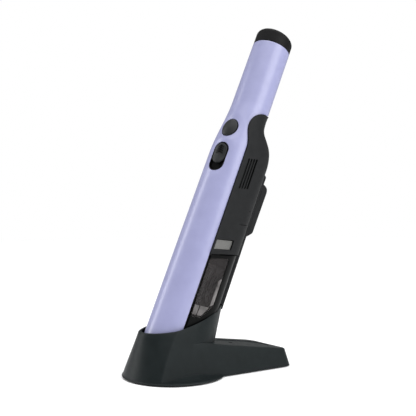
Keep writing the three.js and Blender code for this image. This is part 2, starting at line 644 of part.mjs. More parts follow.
// plan of the collar at the floor: flange arc in front, straight sides, rounded rear
const CORNER_Y = -Math.sqrt(FLANGE_R ** 2 - SIDE_HALF ** 2);
const COLLAR_REAR = 33.5;
const RIM_FRONT = 50;
const RIM_REAR = 72.6;
const RIM_RISE = 3.75;              // part of the climb that is straight; the rest curves upwards
function collarPlan(inset) {
  const shape = new THREE.Shape();
  const half = SIDE_HALF - inset;
  const reach = FLANGE_R - inset;
  const turn = Math.asin(half / reach);
  shape.absarc(0, 0, reach, -Math.PI / 2 - turn, -Math.PI / 2 + turn);
  shape.lineTo(half, -14);
  shape.bezierCurveTo(half, 6, half - 8, 20, 22 - inset, COLLAR_REAR - 4 - inset);
  shape.quadraticCurveTo(19 - inset, COLLAR_REAR - inset, 12, COLLAR_REAR - inset);
  shape.lineTo(-12, COLLAR_REAR - inset);
  shape.quadraticCurveTo(inset - 19, COLLAR_REAR - inset, inset - 22, COLLAR_REAR - 4 - inset);
  shape.bezierCurveTo(8 - half, 20, -half, 6, -half, -14);
  return shape;
}

// raises a plan with draft and lean; the front arc tightens as it rises
function risen(plan, low, high, steps, lean, curveSegments = 8) {
  const rise = { depth: high - low, steps, bevelEnabled: false, curveSegments };
  const geometry = new THREE.ExtrudeGeometry(plan, rise).translate(0, 0, low);
  const position = geometry.attributes.position;
  for (let i = 0; i < position.count; i++) {
    const [x, y, z] = [position.getX(i), position.getY(i), position.getZ(i)];
    const front = THREE.MathUtils.clamp((y + FLANGE_R) / (FLANGE_R + CORNER_Y), 0, 1);
    const rear = THREE.MathUtils.clamp((COLLAR_REAR - y) / (COLLAR_REAR - CORNER_Y), 0, 1);
    const lag = lean ? cornerLag(z) * Math.min(front, rear) : 0;
    position.setXYZ(i, x * sideScale(z), y + (lean ? dockLean(z) : 0) + lag, z);
  }
  return geometry;
}

// everything under the rim, which climbs from the front to the back
function underRim() {
  const shape = new THREE.Shape();
  shape.moveTo(-90, -5);
  shape.lineTo(-90, 50);
  levels(-40, 52, 18.4).forEach((y) => {
    const along = (y + 40) / 92;
    shape.lineTo(y, RIM_FRONT + RIM_RISE * along + (RIM_REAR - RIM_FRONT - RIM_RISE) * along ** 2);
  });
  shape.lineTo(75, RIM_REAR);
  shape.lineTo(75, -5);
  return across(shape, -90, 90);
}

// side view of everything under the tail's falling top
function underTail(drop) {
  const shape = new THREE.Shape();
  shape.moveTo(-60, -5);
  shape.lineTo(-60, 34 - drop);
  shape.lineTo(20, 37.4 - drop);
  shape.quadraticCurveTo(36, 34.3 - drop, 52, 31.8 - drop);
  shape.quadraticCurveTo(96, 25.6 - drop, 170, 15.6 - drop);
  shape.lineTo(170, -5);
  return across(shape, -90, 90, 4);
}

function tailPlan(inset) {
  const half = SIDE_HALF - inset;
  return outline([[-half, -20], [half, -20], [half, TAIL_END - inset], [-half, TAIL_END - inset]], 14);
}

function tailBlock(inset, low) {
  const block = risen(tailPlan(inset), low, 60, 1, false, 5);
  const position = block.attributes.position;
  for (let i = 0; i < position.count; i++) {
    const [y, z] = [position.getY(i), position.getZ(i)];
    const endDraft = 0.27 * Math.max(0, (y - 20) / (TAIL_END - 20)) * z;
    position.setY(i, y - endDraft);
  }
  return keep(block, underTail(inset));
}

// the wand's own outline with clearance, swept along the wand: the seat it stands in
function wandSweep(clear, low, high) {
  const sweep = loft([low, high], (angle, s) => {
    const [x, y] = bodySection(-clear)(angle, 100);
    return [x, y, s];
  }, 28);
  return sweep.rotateX(-LEAN).translate(0, AXIS_FOOT_Y, 0);
}

const SEAT = WAND_BOTTOM - 0.4;
const BOSSES = [[-22, 62], [22, 62], [-22, 112], [22, 112]];
const PIN_X = 6;
const PIN_DEPTH = 25;
const JACK_Z = 10.5;

// turns something built along the wand's axis into the dock's upright frame
const alongWand = (geometry) => geometry.rotateX(-LEAN).translate(0, AXIS_FOOT_Y, 0);

function flange() {
  return turned([[0, DOCK_LOW], [FLANGE_R - 0.6, DOCK_LOW], [FLANGE_R, DOCK_LOW + 0.6], [FLANGE_R - 0.4, 3],
    [FLANGE_R - 6, 4], [SIDE_HALF - 2, 6.4], [0, 12]], 48);
}

function dockBody() {
  const outer = solid(keep(risen(collarPlan(0), DOCK_LOW, 90, 5, true, 8), underRim()))
    .add(solid(tailBlock(0, DOCK_LOW))).add(solid(flange()));
  const seatPlane = SEAT + 9;
  const wall = collarPlan(DOCK_WALL);
  const pocket = solid(risen(wall, 0, 95, 5, true, 6)).intersect(solid(wandSweep(8.5, seatPlane, 160)));
  const seat = solid(wandSweep(0.5, SEAT, 120));
  const underside = solid(tailBlock(DOCK_WALL, -2)).add(solid(risen(wall, -2, 34, 2, true, 5)))
    .subtract(solid(wandSweep(2.6, SEAT - 2.2, 160))).subtract(solid(wandSweep(11, seatPlane - 2.2, 160)));
  const tail = tailBlock(1, DOCK_LOW);
  const bosses = BOSSES.map(([x, y]) => keep(post(3.6, DOCK_LOW + 2.4, 40, x, y, 8), tail));
  const holes = [
    ...BOSSES.map(([x, y]) => post(1.6, 0, 15, x, y, 8)),
    ...[-PIN_X, PIN_X].map((x) => alongWand(post(1.6, SEAT - 6, SEAT + 3, x, PIN_DEPTH, 8))),
    jackCylinder(5.4, TAIL_END - 20, TAIL_END + 10),
  ];
  const hollowed = outer.subtract(underside).subtract(pocket).subtract(seat).subtract(solid(trayRecess()));
  const bossed = bosses.reduce((sum, boss) => sum.add(solid(boss)), hollowed);
  return surface(holes.reduce((sum, hole) => sum.subtract(solid(hole)), bossed));
}

// shallow oval tray on the tail, with a small blind key hole near its front
function trayRecess() {
  const tray = solid(raised(stadium(19, 34, 0, 92), 0, 60, 10)).subtract(solid(underTail(1.2)));
  return surface(tray.add(solid(post(2.6, 24, 40, 0, 76, 16))));
}

function jackCylinder(radius, from, to) {
  return new THREE.CylinderGeometry(radius, radius, to - from, 16).translate(0, (from + to) / 2, JACK_Z);
}

piece(dock, 'dock_body', dockBody(), DOCK_BLACK);

const PLATE_TOP = DOCK_LOW + 2;
const FEET = [
  ['centre', 0, 0, 10], ['front_right', 27, -28, 7], ['front_left', -27, -28, 7],
  ['rear_right', 24, 122, 6], ['rear_left', -24, 122, 6],
];
function basePlate() {
  const inset = DOCK_WALL + GAP;
  const slab = box(-70, -70, DOCK_LOW, 70, 150, PLATE_TOP);
  const collar = risen(collarPlan(inset), DOCK_LOW, 30, 3, true, 5);
  const plate = join(keep(tailBlock(inset, DOCK_LOW), slab), keep(collar, slab));
  const pads = FEET.map(([, x, y, radius]) => post(radius + GAP, 0, DOCK_LOW + 0.9, x, y, 16));
  const sink = (x, y) => join(post(3.2, 0, DOCK_LOW + 1.1, x, y, 10), post(1.7, 0, 10, x, y, 8));
  const sinks = BOSSES.map(([x, y]) => sink(x, y));
  return cut(plate, ...pads, ...sinks);
}
piece(dock, 'dock_base_plate', basePlate(), BLACK);
for (const [place, x, y, radius] of FEET) {
  piece(dock, `rubber_foot_${place}`, post(radius, 0, DOCK_LOW + 0.6, x, y, 16), RUBBER);
}
BOSSES.forEach(([x, y], index) => {
  const head = post(2.7, DOCK_LOW + 0.1, DOCK_LOW + 0.8, x, y, 10);
  piece(dock, `base_screw_${index + 1}`, join(head, post(1.25, DOCK_LOW + 0.5, 13, x, y, 8)), STEEL);
});
for (const [side, sign] of sides) {
  const pin = alongWand(post(1.25, SEAT - 5.4, WAND_BOTTOM + 2.6, sign * PIN_X, PIN_DEPTH, 8));
  piece(dock, `charge_pin_${side}`, pin, COPPER);
}
piece(dock, 'dock_board', box(-14, -6, 4.4, 14, 17, 6), BOARD);
function powerInlet() {
  const barrel = jackCylinder(5.1, TAIL_END - 17, TAIL_END - 3.2);
  const contact = jackCylinder(0.9, TAIL_END - 15, TAIL_END - 6);
  return join(cut(barrel, jackCylinder(3.2, TAIL_END - 13, TAIL_END)), contact);
}
piece(dock, 'power_inlet', powerInlet(), BLACK);

// ---------------------------------------------------------------- export
export default vacuum;
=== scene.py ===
# Slim handheld vacuum on its charging dock: the looks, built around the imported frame.
import json
from functools import partial
from math import acos, asin, copysign, cos, exp, hypot, pi, radians, sin, sqrt
import bpy
import bmesh
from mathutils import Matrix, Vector


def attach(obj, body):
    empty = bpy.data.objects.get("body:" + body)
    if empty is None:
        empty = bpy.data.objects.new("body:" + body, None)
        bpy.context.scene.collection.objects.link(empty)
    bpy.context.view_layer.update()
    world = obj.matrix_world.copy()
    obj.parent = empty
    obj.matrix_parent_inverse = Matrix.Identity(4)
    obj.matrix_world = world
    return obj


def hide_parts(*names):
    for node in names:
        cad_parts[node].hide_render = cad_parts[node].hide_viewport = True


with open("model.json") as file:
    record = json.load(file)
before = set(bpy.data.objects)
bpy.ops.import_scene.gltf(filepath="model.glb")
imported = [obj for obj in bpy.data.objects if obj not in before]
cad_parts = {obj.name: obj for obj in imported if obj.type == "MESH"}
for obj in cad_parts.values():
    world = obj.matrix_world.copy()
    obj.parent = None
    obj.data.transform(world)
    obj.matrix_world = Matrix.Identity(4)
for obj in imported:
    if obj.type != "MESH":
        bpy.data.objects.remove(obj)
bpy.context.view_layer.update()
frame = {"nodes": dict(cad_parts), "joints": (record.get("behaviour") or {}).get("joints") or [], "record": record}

MM = 0.001
TURN = 2 * pi
SIDES = ((1, "right"), (-1, "left"))

# ---- places taken from the frame
JOINTS = {joint["name"]: joint for joint in frame["joints"]}
UP = Vector(JOINTS["wand_lift"]["axis"]).normalized()
ACROSS = Vector((1, 0, 0))
BACK = UP.cross(ACROSS).normalized()
MOTOR_R = 12
FAN_S = 180
FOOT = Vector(JOINTS["fan_spin"]["pos_m"]) - (BACK * MOTOR_R + UP * FAN_S) * MM
CONTROL_TURN = radians(23)

# ---- driving sizes, in millimetres
# On the wand, x runs across it, r rearward from its axis, and s up along it.
GAP = 0.3
WAND_BOTTOM = 27
BODY_R = 25
HANDLE_R = 22.8
HANDLE_SHIFT = 3.75
BLEND_FROM = 258
BLEND_TO = 328
HANDLE_TOP = 407.5
CAP_TOP = 424.5
CAP_SLANT = 0.1
HOUSING_REAR = 42.4
SQUARE_UNTIL = 262
ROUND_FROM = 305
SEAM_S = 142
SEAM_SLOPE = 0.36


def on_wand(x, r, s):
    """A point of the wand: across, rearward and up."""
    return FOOT + (ACROSS * x + BACK * r + UP * s) * MM


def on_dock(x, y, z):
    """A point of the dock, which stands square in the frame."""
    return Vector((x, y, z)) * MM


def on_controls(a, depth, s):
    """A point of the controls: across, outward and up."""
    x = a * cos(CONTROL_TURN) + depth * sin(CONTROL_TURN)
    r = a * sin(CONTROL_TURN) - depth * cos(CONTROL_TURN)
    return on_wand(x, r, s)


def swapped(place):
    """The same place with its last two measures swapped."""
    return lambda first, third, second: place(first, second, third)


# ---- curves
def ramp(value, low, high):
    """0 below low, 1 above high, smooth between."""
    t = min(1, max(0, (value - low) / (high - low)))
    return t * t * (3 - 2 * t)


def spaced(low, high, count):
    """Evenly spaced values, both ends included."""
    return [low + (high - low) * i / (count - 1) for i in range(count)]


def catmull(t, a, b, c, d):
    """A smooth curve from b to c, with a and d as their neighbours."""
    v0, v1 = (c - a) / 2, (d - b) / 2
    cubic = (2 * b - 2 * c + v0 + v1) * t ** 3
    return cubic + (-3 * b + 3 * c - 2 * v0 - v1) * t ** 2 + v0 * t + b


def bezier(t, *points):
    """A point of a Bezier curve."""
    while len(points) > 1:
        points = [tuple(a + (b - a) * t for a, b in zip(p, q))
                  for p, q in zip(points, points[1:])]
    return points[0]


def curve(count, *points):
    """Points along a Bezier curve, without its first one."""
    return [bezier(t, *points) for t in spaced(0, 1, count)[1:]]


def crossing(below):
    """Where between 0 and 1 a test turns false, found by halving."""
    low, high = 0.0, 1.0
    for _ in range(24):
        middle = (low + high) / 2
        if below(middle):
            low = middle
        else:
            high = middle
    return low


# ---- the wand's outer form
def half_width(s):
    """The body is round in front; its radius eases to the handle's."""
    return BODY_R - (BODY_R - HANDLE_R) * ramp(s, BLEND_FROM, BLEND_TO)


def axis_shift(s):
    """The handle's centre lies a little behind the body's."""
    return HANDLE_SHIFT * ramp(s, BLEND_FROM, BLEND_TO)


# (s, r) of the housing's rear wall, hollow at the finger rest.
REAR_POINTS = [
    (0, HOUSING_REAR), (90, HOUSING_REAR), (180, HOUSING_REAR), (250, HOUSING_REAR),
    (268, HOUSING_REAR), (280, 41.3), (287, 39), (293, 34.6), (299, 28.8), (305, 25.4),
    (312, 24.2), (318, 24.2), (323, 25.4), (329, 28.8), (333, 32),
]
# The tip under the handle is pushed up along the wand by this much.
TIP_LIFT = 2.2
TIP_LIFT_FROM = 312
TIP_LIFT_TO = 324


def rear_of(s):
    """How far the housing's rear wall stands behind the wand's axis."""
    s -= TIP_LIFT * ramp(s, TIP_LIFT_FROM, TIP_LIFT_TO)
    if s >= REAR_POINTS[-1][0]:
        return REAR_POINTS[-1][1]
    i = max(k for k, point in enumerate(REAR_POINTS) if point[0] <= s)
    last = len(REAR_POINTS) - 1
    a, b, c, d = (REAR_POINTS[min(last, max(0, k))] for k in (i - 1, i, i + 1, i + 2))
    t = crossing(lambda t: catmull(t, a[0], b[0], c[0], d[0]) < s)
    return catmull(t, a[1], b[1], c[1], d[1])


def power_at(s):
    """Exponent of the rear half's section."""
    return 2 / (4 - 2 * ramp(s, SQUARE_UNTIL, ROUND_FROM))


def body_section(inset=0):
    """Section of the body, round in front and squarer behind."""
    def at(angle, s):
        width = half_width(s) - inset
        shift = axis_shift(s)
        c, d = cos(angle), sin(angle)
        if d <= 0:
            return width * c, shift + width * d
        depth = rear_of(s) - shift - inset
        power = power_at(s)
        return width * copysign(abs(c) ** power, c), shift + depth * d ** power
    return at


def side_of(r, s):
    """Half width of the body's rear part at a rearward place r."""
    shift = axis_shift(s)
    d = min(1, max(0, (r - shift) / (rear_of(s) - shift))) ** (1 / power_at(s))
    return half_width(s) * sqrt(max(0, 1 - d * d)) ** power_at(s)


def front_height(a, s):
    """Outward height of the front shell over the controls' plane."""
    shift = axis_shift(s)
    middle = shift * sin(CONTROL_TURN)
    bulge = sqrt(max(0, half_width(s) ** 2 - (a - middle) ** 2))
    return bulge - shift * cos(CONTROL_TURN)


def body_point(angle, s):
    """A point of the body's rear half, its angle counted from the side."""
    return on_wand(*body_section()(angle, s), s)


def on_side(side, r, s, rise):
    """A point over the body's side, one side being 1 and the other -1."""
    return on_wand(side * (side_of(r, s) + rise), r, s)


# ---- outlines
ARC_STEPS = 5


def shrunk(outline, inset):
    """A closed outline moved inwards by a small distance."""
    if abs(inset) < 1e-6:
        return outline
    count = len(outline)
    after_each = outline[1:] + outline[:1]
    area = sum(p[0] * q[1] - q[0] * p[1] for p, q in zip(outline, after_each))
    side = 1 if area > 0 else -1
    moved = []
    for i in range(count):
        before, here, after = (Vector(outline[(i + k) % count]) for k in (-1, 0, 1))
        tangent = (after - here).normalized() + (here - before).normalized()
        if tangent.length < 1e-9:
            moved.append(outline[i])
            continue
        tangent.normalize()
        moved.append((outline[i][0] - side * tangent.y * inset,
                      outline[i][1] + side * tangent.x * inset))
    return moved


def rounded(corners, radius):
    """A polygon with each corner rounded off."""
    outline = []
    count = len(corners)
    for i in range(count):
        before, corner, after = (Vector(corners[(i + k) % count]) for k in (-1, 0, 1))
        inward, outward = before - corner, after - corner
        trim = min(radius, inward.length / 2.1, outward.length / 2.1)
        start = corner + inward.normalized() * trim
        end = corner + outward.normalized() * trim
        for t in spaced(0, 1, ARC_STEPS + 1):
            outline.append(tuple(start * (1 - t) ** 2 + corner * 2 * t * (1 - t) + end * t ** 2))
    return outline


def arc(middle, radius, start, end, steps=16):
    """Points along a circle between two angles."""
    return [(middle[0] + radius * cos(t), middle[1] + radius * sin(t))
            for t in spaced(start, end, steps)]


def stadium(half_across, half_length, middle, steps=16):
    """An outline with straight flanks and round ends."""
    straight = half_length - half_across
    outline = []
    for end, start in ((1, 0), (-1, pi)):
        outline += arc((middle[0], middle[1] + end * straight), half_across, start, start + pi,
                       steps)
    return outline


def oval(a, b, middle, steps=64):
    """An ellipse with the half axes a and b."""
    return [(middle[0] + a * cos(TURN * i / steps), middle[1] + b * sin(TURN * i / steps))
            for i in range(steps)]


def rounded_profile(low, high, radius):
    """(height, inset) pairs of a bar whose ends are rounded over."""
    quarter = [(radius * (1 - sin(a)), radius * (1 - cos(a)))
               for a in (pi / 2 * i / ARC_STEPS for i in range(ARC_STEPS + 1))]
    lower = [(low + drop, inset) for drop, inset in reversed(quarter)]
    return lower + [(high - drop, inset) for drop, inset in quarter]


# ---- meshes
CUT_PAST = 3
CUT_FLARE = 0.06


def mesh_object(name, points, faces):
    """An object with doubled points merged and its faces turned outwards."""
    data = bpy.data.meshes.new(name)
    data.from_pydata([tuple(p) for p in points], [], faces)
    data.validate()
    piece = bpy.data.objects.new(name, data)
    bpy.context.scene.collection.objects.link(piece)
    shaping = bmesh.new()
    shaping.from_mesh(data)
    bmesh.ops.remove_doubles(shaping, verts=shaping.verts, dist=0.002 * MM)
    bmesh.ops.recalc_face_normals(shaping, faces=shaping.faces)
    shaping.to_mesh(data)
    shaping.free()
    return piece


def grid_faces(rows, columns, closed):
    """Quads between rows of points; closed joins each row's end to its start."""
    faces = []
    for i in range(rows - 1):
        for j in range(columns if closed else columns - 1):
            k = (j + 1) % columns
            near, far = i * columns, (i + 1) * columns
            faces.append((near + j, near + k, far + k, far + j))
    return faces


def sheet_of(name, rows):
    """An open surface through a grid of points."""
    return mesh_object(name, sum(rows, []), grid_faces(len(rows), len(rows[0]), False))


def rings_of(name, rings):
    """A closed solid through rings of points."""
    count = len(rings[0])
    points = sum(rings, [])
    last = len(points) - count
    faces = grid_faces(len(rings), count, True)
    faces += [tuple(range(count - 1, -1, -1)), tuple(range(last, last + count))]
    return mesh_object(name, points, faces)


def prism(name, outline, levels, place):
    """A closed solid from an outline at several levels."""
    return rings_of(name, [[place(x, y, level) for x, y in outline] for level in levels])


def loft(name, levels, section, sides=128):
    """A closed solid of the wand through sections at several levels."""
    return rings_of(name, [[on_wand(*section(TURN * i / sides, level), level)
                            for i in range(sides)] for level in levels])


def lathe(name, profile, sides, centre=(0, 0), place=on_wand, warp=None):
    """A solid turned from (radius, height) pairs."""
    rings = []
    for radius, height in profile:
        circle = oval(max(radius, 0.001), max(radius, 0.001), centre, sides)
        rings.append([place(x, y, warp(x, y, height) if warp else height) for x, y in circle])
    return rings_of(name, rings)


def slab(name, outline, low, high, edge, place):
    """An outline run between two levels, with its edges rounded over."""
    return rings_of(name, [[place(x, y, level) for x, y in shrunk(outline, inset)]
                           for level, inset in rounded_profile(low, high, edge)])


def mound(name, outline, height, base, edge, place, sides, crown):
    """A solid with upright sides, a rounded edge and a shaped top."""
    count = len(outline)
    mx, my = (sum(values) / count for values in zip(*outline))
    lowest = base + 0.02
    tops = [height(x, y) for x, y in outline]
    rings = []
    for share in spaced(0, 1, sides + 1)[:-1]:
        rings.append([place(x, y, base + (max(top - edge, lowest) - base) * share)
                      for (x, y), top in zip(outline, tops)])
    for t in spaced(0, pi / 2, ARC_STEPS + 1):
        drop = edge * (1 - sin(t))
        rings.append([place(x, y, max(height(x, y) - drop, lowest))
                      for x, y in shrunk(outline, edge * (1 - cos(t)))])
    inner = shrunk(outline, edge)
    for share in spaced(1, 0, crown + 1)[1:]:
        share = max(share, 0.002)
        drawn_in = [(mx + (x - mx) * share, my + (y - my) * share) for x, y in inner]
        rings.append([place(x, y, height(x, y)) for x, y in drawn_in])
    return rings_of(name, rings)


def rim_steps(rim, count=ARC_STEPS):
    """(rise, inset) pairs of a cutter's rim, rolled over and then flared."""
    steps = [(-rim + rim * sin(t), -rim * (1 - cos(t)))
             for t in spaced(0, pi / 2, count)]
    return steps + [(CUT_PAST, -rim - CUT_FLARE)]


def sunk(name, outline, height, floor, rim, place):
    """A cutter for a hole below a curved surface."""
    return rings_of(name, [[place(x, height(x, y) + rise, y) for x, y in shrunk(outline, inset)]
                           for rise, inset in [(-floor, 0)] + rim_steps(rim)])


def through(name, outline, rim):
    """A cutter that runs right through across the wand."""
    steps = rim_steps(rim)
    return rings_of(name, [[on_side(side, r, s, rise) for r, s in shrunk(outline, inset)]
                           for side, ordered in ((1, steps[::-1]), (-1, steps))
                           for rise, inset in ordered])


def recesses(outline, depth):
    """Cutters for one shallow recess on each side of the wand."""
    return [prism("recess", outline, (-depth, CUT_PAST), partial(on_side, side))
            for side in (-1, 1)]


def block(name, low, high):
    """A block of the wand, from its lowest to its highest corner."""
    (x0, r0, s0), (x1, r1, s1) = low, high
    return prism(name, ((x0, r0), (x1, r0), (x1, r1), (x0, r1)), (s0, s1), on_wand)


def settle(piece):
    """Applies the piece's modifiers."""
    bpy.context.view_layer.update()
    evaluated = piece.evaluated_get(bpy.context.evaluated_depsgraph_get())
    data = bpy.data.meshes.new_from_object(evaluated)
    piece.modifiers.clear()
    piece.data = data
    return piece


def carve(piece, *cutters, how="DIFFERENCE"):
    """Cuts, joins or limits a piece by others, which are used up."""
    for cutter in cutters:
        modifier = piece.modifiers.new("carve", "BOOLEAN")
        modifier.operation = how
        modifier.solver = "MANIFOLD"
        modifier.object = cutter
        settle(piece)
        bpy.data.objects.remove(cutter)
    return piece


def soften(piece, edge, segments):
    """Rounds the piece's sharp edges."""
    bevel = piece.modifiers.new("edge", "BEVEL")
    bevel.width = edge * MM
    bevel.segments = segments
    bevel.limit_method = "ANGLE"
    bevel.angle_limit = radians(40)
    bevel.use_clamp_overlap = True


def thicken(piece, wall, edge):
    """Gives a surface a wall on its inner side, and rounds its rims."""
    shell = piece.modifiers.new("wall", "SOLIDIFY")
    shell.thickness = wall * MM
    shell.offset = -1
    shell.use_even_offset = False
    soften(piece, edge, 3)
    return settle(piece)


def finish(piece, body, slot, replaced=(), degrees=32):
    """Shades a piece, gives it its material, hangs it on its body and hides the CAD nodes it replaces."""
    piece.data.shade_smooth()
    piece.data.set_sharp_from_angle(angle=radians(degrees))
    piece.data.materials.clear()
    piece.data.materials.append(MATERIALS[slot])
    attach(piece, body)
    if replaced:
        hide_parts(*replaced)


# ---- materials
# Sockets of the Mix node when it mixes colours.
MIX_A, MIX_B, MIX_RESULT = 6, 7, 2
# Most of a noise texture's values lie between these.
NOISE_LOW, NOISE_HIGH = 0.3, 0.7


def srgb(r, g, b):
    """A linear colour from its usual values of 0 to 255."""
    return tuple((v / 255 / 12.92 if v / 255 <= 0.04045 else ((v / 255 + 0.055) / 1.055) ** 2.4)
                 for v in (r, g, b)) + (1,)


def fill(node, values):
    """Sets sockets of a node."""
    for socket, value in values.items():
        node.inputs[socket].default_value = value


class Paint:
    """A principled material with procedural detail."""

    def __init__(self, name, roughness, metallic=0.0):
        self.material = bpy.data.materials.new(name)
        self.material.use_nodes = True
        self.nodes = self.material.node_tree.nodes
        self.links = self.material.node_tree.links
        self.shader = self.nodes["Principled BSDF"]
        fill(self.shader, {"Roughness": roughness, "Metallic": metallic})
        self.place = self.nodes.new("ShaderNodeTexCoord").outputs["Object"]
        self.bump = None

    def set(self, socket, output):
        """Feeds a socket of the shader from a node."""
        self.links.new(output, self.shader.inputs[socket])

    def stretched(self, scale):
        """Object coordinates scaled along each axis."""
        mapping = self.nodes.new("ShaderNodeMapping")
        fill(mapping, {"Scale": scale})
        self.links.new(self.place, mapping.inputs["Vector"])
        return mapping.outputs["Vector"]

    def noise(self, size_mm, detail, roughness=0.5, vector=None):
        """Noise with features of a real size."""
        noise = self.nodes.new("ShaderNodeTexNoise")
        fill(noise, {"Scale": 1 / (size_mm * MM), "Detail": detail, "Roughness": roughness})
        self.links.new(vector or self.place, noise.inputs["Vector"])
        return noise.outputs["Fac"]

    def blend(self, factor, low, high):
        """A colour or value between two, by a noise."""
        spread = self.nodes.new("ShaderNodeMapRange")
        fill(spread, {"From Min": NOISE_LOW, "From Max": NOISE_HIGH})
        self.links.new(factor, spread.inputs["Value"])
        if isinstance(low, tuple):
            mix = self.nodes.new("ShaderNodeMix")
            mix.data_type = "RGBA"
            fill(mix, {MIX_A: srgb(*low), MIX_B: srgb(*high)})
            self.links.new(spread.outputs["Result"], mix.inputs["Factor"])
            return mix.outputs[MIX_RESULT]
        fill(spread, {"To Min": low, "To Max": high})
        return spread.outputs["Result"]

    def mottle(self, spots, dark, light, gloss, low, high):
        """Uneven colour and uneven roughness, by a noise for each."""
        self.set("Base Color", self.blend(spots, dark, light))
        self.set("Roughness", self.blend(gloss, low, high))

    def add_bump(self, height, distance_mm):
        """Relief on top of any that is there."""
        bump = self.nodes.new("ShaderNodeBump")
        fill(bump, {"Distance": distance_mm * MM, "Strength": 1.0})
        self.links.new(height, bump.inputs["Height"])
        if self.bump:
            self.links.new(self.bump, bump.inputs["Normal"])
        self.bump = bump.outputs["Normal"]
        self.links.new(self.bump, self.shader.inputs["Normal"])


def moulded(name, dark, light, roughness, grain_mm, grain_depth, specular=0.5, coat=0.0):
    """Moulded plastic with a fine spark-eroded grain."""
    paint = Paint(name, roughness[0])
    paint.mottle(paint.noise(9, 4), dark, light, paint.noise(3.5, 5), *roughness)
    paint.add_bump(paint.noise(grain_mm, 2), grain_depth)
    fill(paint.shader,
         {"Coat Weight": coat, "Coat Roughness": 0.2, "Specular IOR Level": specular})
    return paint.material


def lacquered(name, dark, light):
    """Satin lacquer with a faint orange peel and very fine flake."""
    paint = Paint(name, 0.34)
    paint.mottle(paint.noise(14, 3), dark, light, paint.noise(5, 4), 0.31, 0.37)
    paint.add_bump(paint.noise(1.1, 2), 0.006)
    paint.add_bump(paint.noise(0.22, 1), 0.0015)
    fill(paint.shader, {"Coat Weight": 0.25, "Coat Roughness": 0.22})
    return paint.material


def tinted(name, dark, light, cover, roughness):
    """Smoke-tinted clear plastic."""
    paint = Paint(name, 0.08)
    paint.mottle(paint.noise(18, 3), dark, light, paint.noise(6, 4), *roughness)
    paint.set("Alpha", paint.blend(paint.noise(12, 4), *cover))
    paint.add_bump(paint.noise(7, 2), 0.01)
    fill(paint.shader, {"Specular IOR Level": 0.15})
    return paint.material


def brushed(name, dark, light, roughness, along=(0.03, 1, 1)):
    """Brushed metal with fine lines along one direction."""
    paint = Paint(name, roughness, 0.85)
    lines = paint.noise(0.12, 4, 0.6, paint.stretched(along))
    paint.mottle(lines, dark, light, lines, roughness, roughness + 0.14)
    paint.add_bump(lines, 0.004)
    return paint.material


def plain_metal(name, dark, light, roughness):
    """Metal with cloudy colour and sheen."""
    paint = Paint(name, roughness, 1.0)
    sheen = paint.noise(1.2, 4)
    paint.mottle(paint.noise(2.5, 4), dark, light, sheen, roughness, roughness + 0.12)
    paint.add_bump(paint.noise(0.5, 3), 0.003)
    return paint.material


def felt(name, dark, light):
    """Pressed felt: tangled fibres at two sizes."""
    paint = Paint(name, 0.95)
    fibres = paint.noise(0.35, 6, 0.75, paint.stretched((1, 0.35, 1)))
    paint.mottle(fibres, dark, light, fibres, 0.88, 1.0)
    paint.add_bump(fibres, 0.12)
    paint.add_bump(paint.noise(1.6, 4), 0.2)
    fill(paint.shader, {"Sheen Weight": 0.3})
    return paint.material


def circuit_board(name, dark, light, track):
    """Green lacquer over faint copper tracks."""
    paint = Paint(name, 0.3)
    bricks = paint.nodes.new("ShaderNodeTexBrick")
    fill(bricks, {"Scale": 180, "Color1": srgb(*dark), "Color2": srgb(*light),
                  "Mortar": srgb(*track), "Mortar Size": 0.03})
    paint.links.new(paint.place, bricks.inputs["Vector"])
    paint.set("Base Color", bricks.outputs["Color"])
    paint.set("Roughness", paint.blend(paint.noise(2, 3), 0.28, 0.42))
    paint.add_bump(bricks.outputs["Fac"], 0.03)
    return paint.material


# Slot, maker, darkest and lightest colour, then what the maker asks for: for moulded,
# roughness, size and depth of the grain in millimetres, specular level and coat.
MATERIALS = {name: make(name, *values) for name, make, *values in (
    ("lavender_shell", lacquered, (147, 149, 186), (152, 154, 191)),
    ("charcoal_plastic", moulded, (27, 28, 29), (32, 33, 34), (0.48, 0.58), 0.4, 0.012, 0.12),
    ("black_plastic", moulded, (11, 12, 12), (15, 16, 16), (0.42, 0.52), 0.4, 0.012, 0.2),
    ("gloss_black", moulded, (8, 9, 9), (12, 13, 13), (0.26, 0.34), 1.4, 0.003, 0.07),
    ("dock_plastic", moulded, (19, 25, 26), (23, 29, 30), (0.4, 0.48), 0.35, 0.01, 0.15),
    ("cap_plastic", moulded, (14, 14, 15), (18, 18, 19), (0.46, 0.56), 0.35, 0.012, 0.12),
    ("button_plastic", moulded, (31, 33, 34), (37, 39, 40), (0.4, 0.5), 0.35, 0.01, 0.25),
    # Pale clear plastic for the cup's real bevels: its light tone is painted highlight, the glints on their thick
    # edges.
    ("frosted_clear", tinted, (62, 60, 60), (158, 155, 154), (0.75, 0.85), (0.5, 0.6)),
    ("smoked_clear", tinted, (44, 42, 42), (58, 55, 55), (0.5, 0.6), (0.08, 0.16)),
    ("silver_plate", brushed, (94, 94, 92), (124, 124, 122), 0.4),
    ("steel", plain_metal, (176, 179, 182), (200, 202, 205), 0.26),
    ("motor_shell", brushed, (176, 179, 182), (205, 207, 210), 0.24, (1, 1, 0.03)),
    ("contact_metal", plain_metal, (186, 150, 78), (212, 178, 104), 0.25),
    ("circuit_board", circuit_board, (24, 84, 54), (30, 96, 62), (52, 122, 78)),
    ("felt", felt, (78, 75, 72), (104, 101, 97)),
    ("rubber", moulded, (24, 25, 26), (31, 32, 33), (0.72, 0.88), 0.6, 0.03),
    ("cell_wrap", moulded, (38, 98, 146), (48, 114, 166), (0.3, 0.4), 2.5, 0.01, 0.5, 0.2),
)}


# ---- camera, floor and light
CAMERA_PLACE = (603.3, -362.9, 161.5)
FLOOR_HALF = 6
SKY_ON_SURFACES = 0.28
SKY_ON_BACKDROP = 1.0


def add_holder(name, data, place, heading):
    """An object for a camera or light that looks along a heading."""
    holder = bpy.data.objects.new(name, data)
    holder.location = place
    holder.rotation_euler = Vector(heading).to_track_quat("-Z", "Y").to_euler()
    bpy.context.scene.collection.objects.link(holder)
    return holder


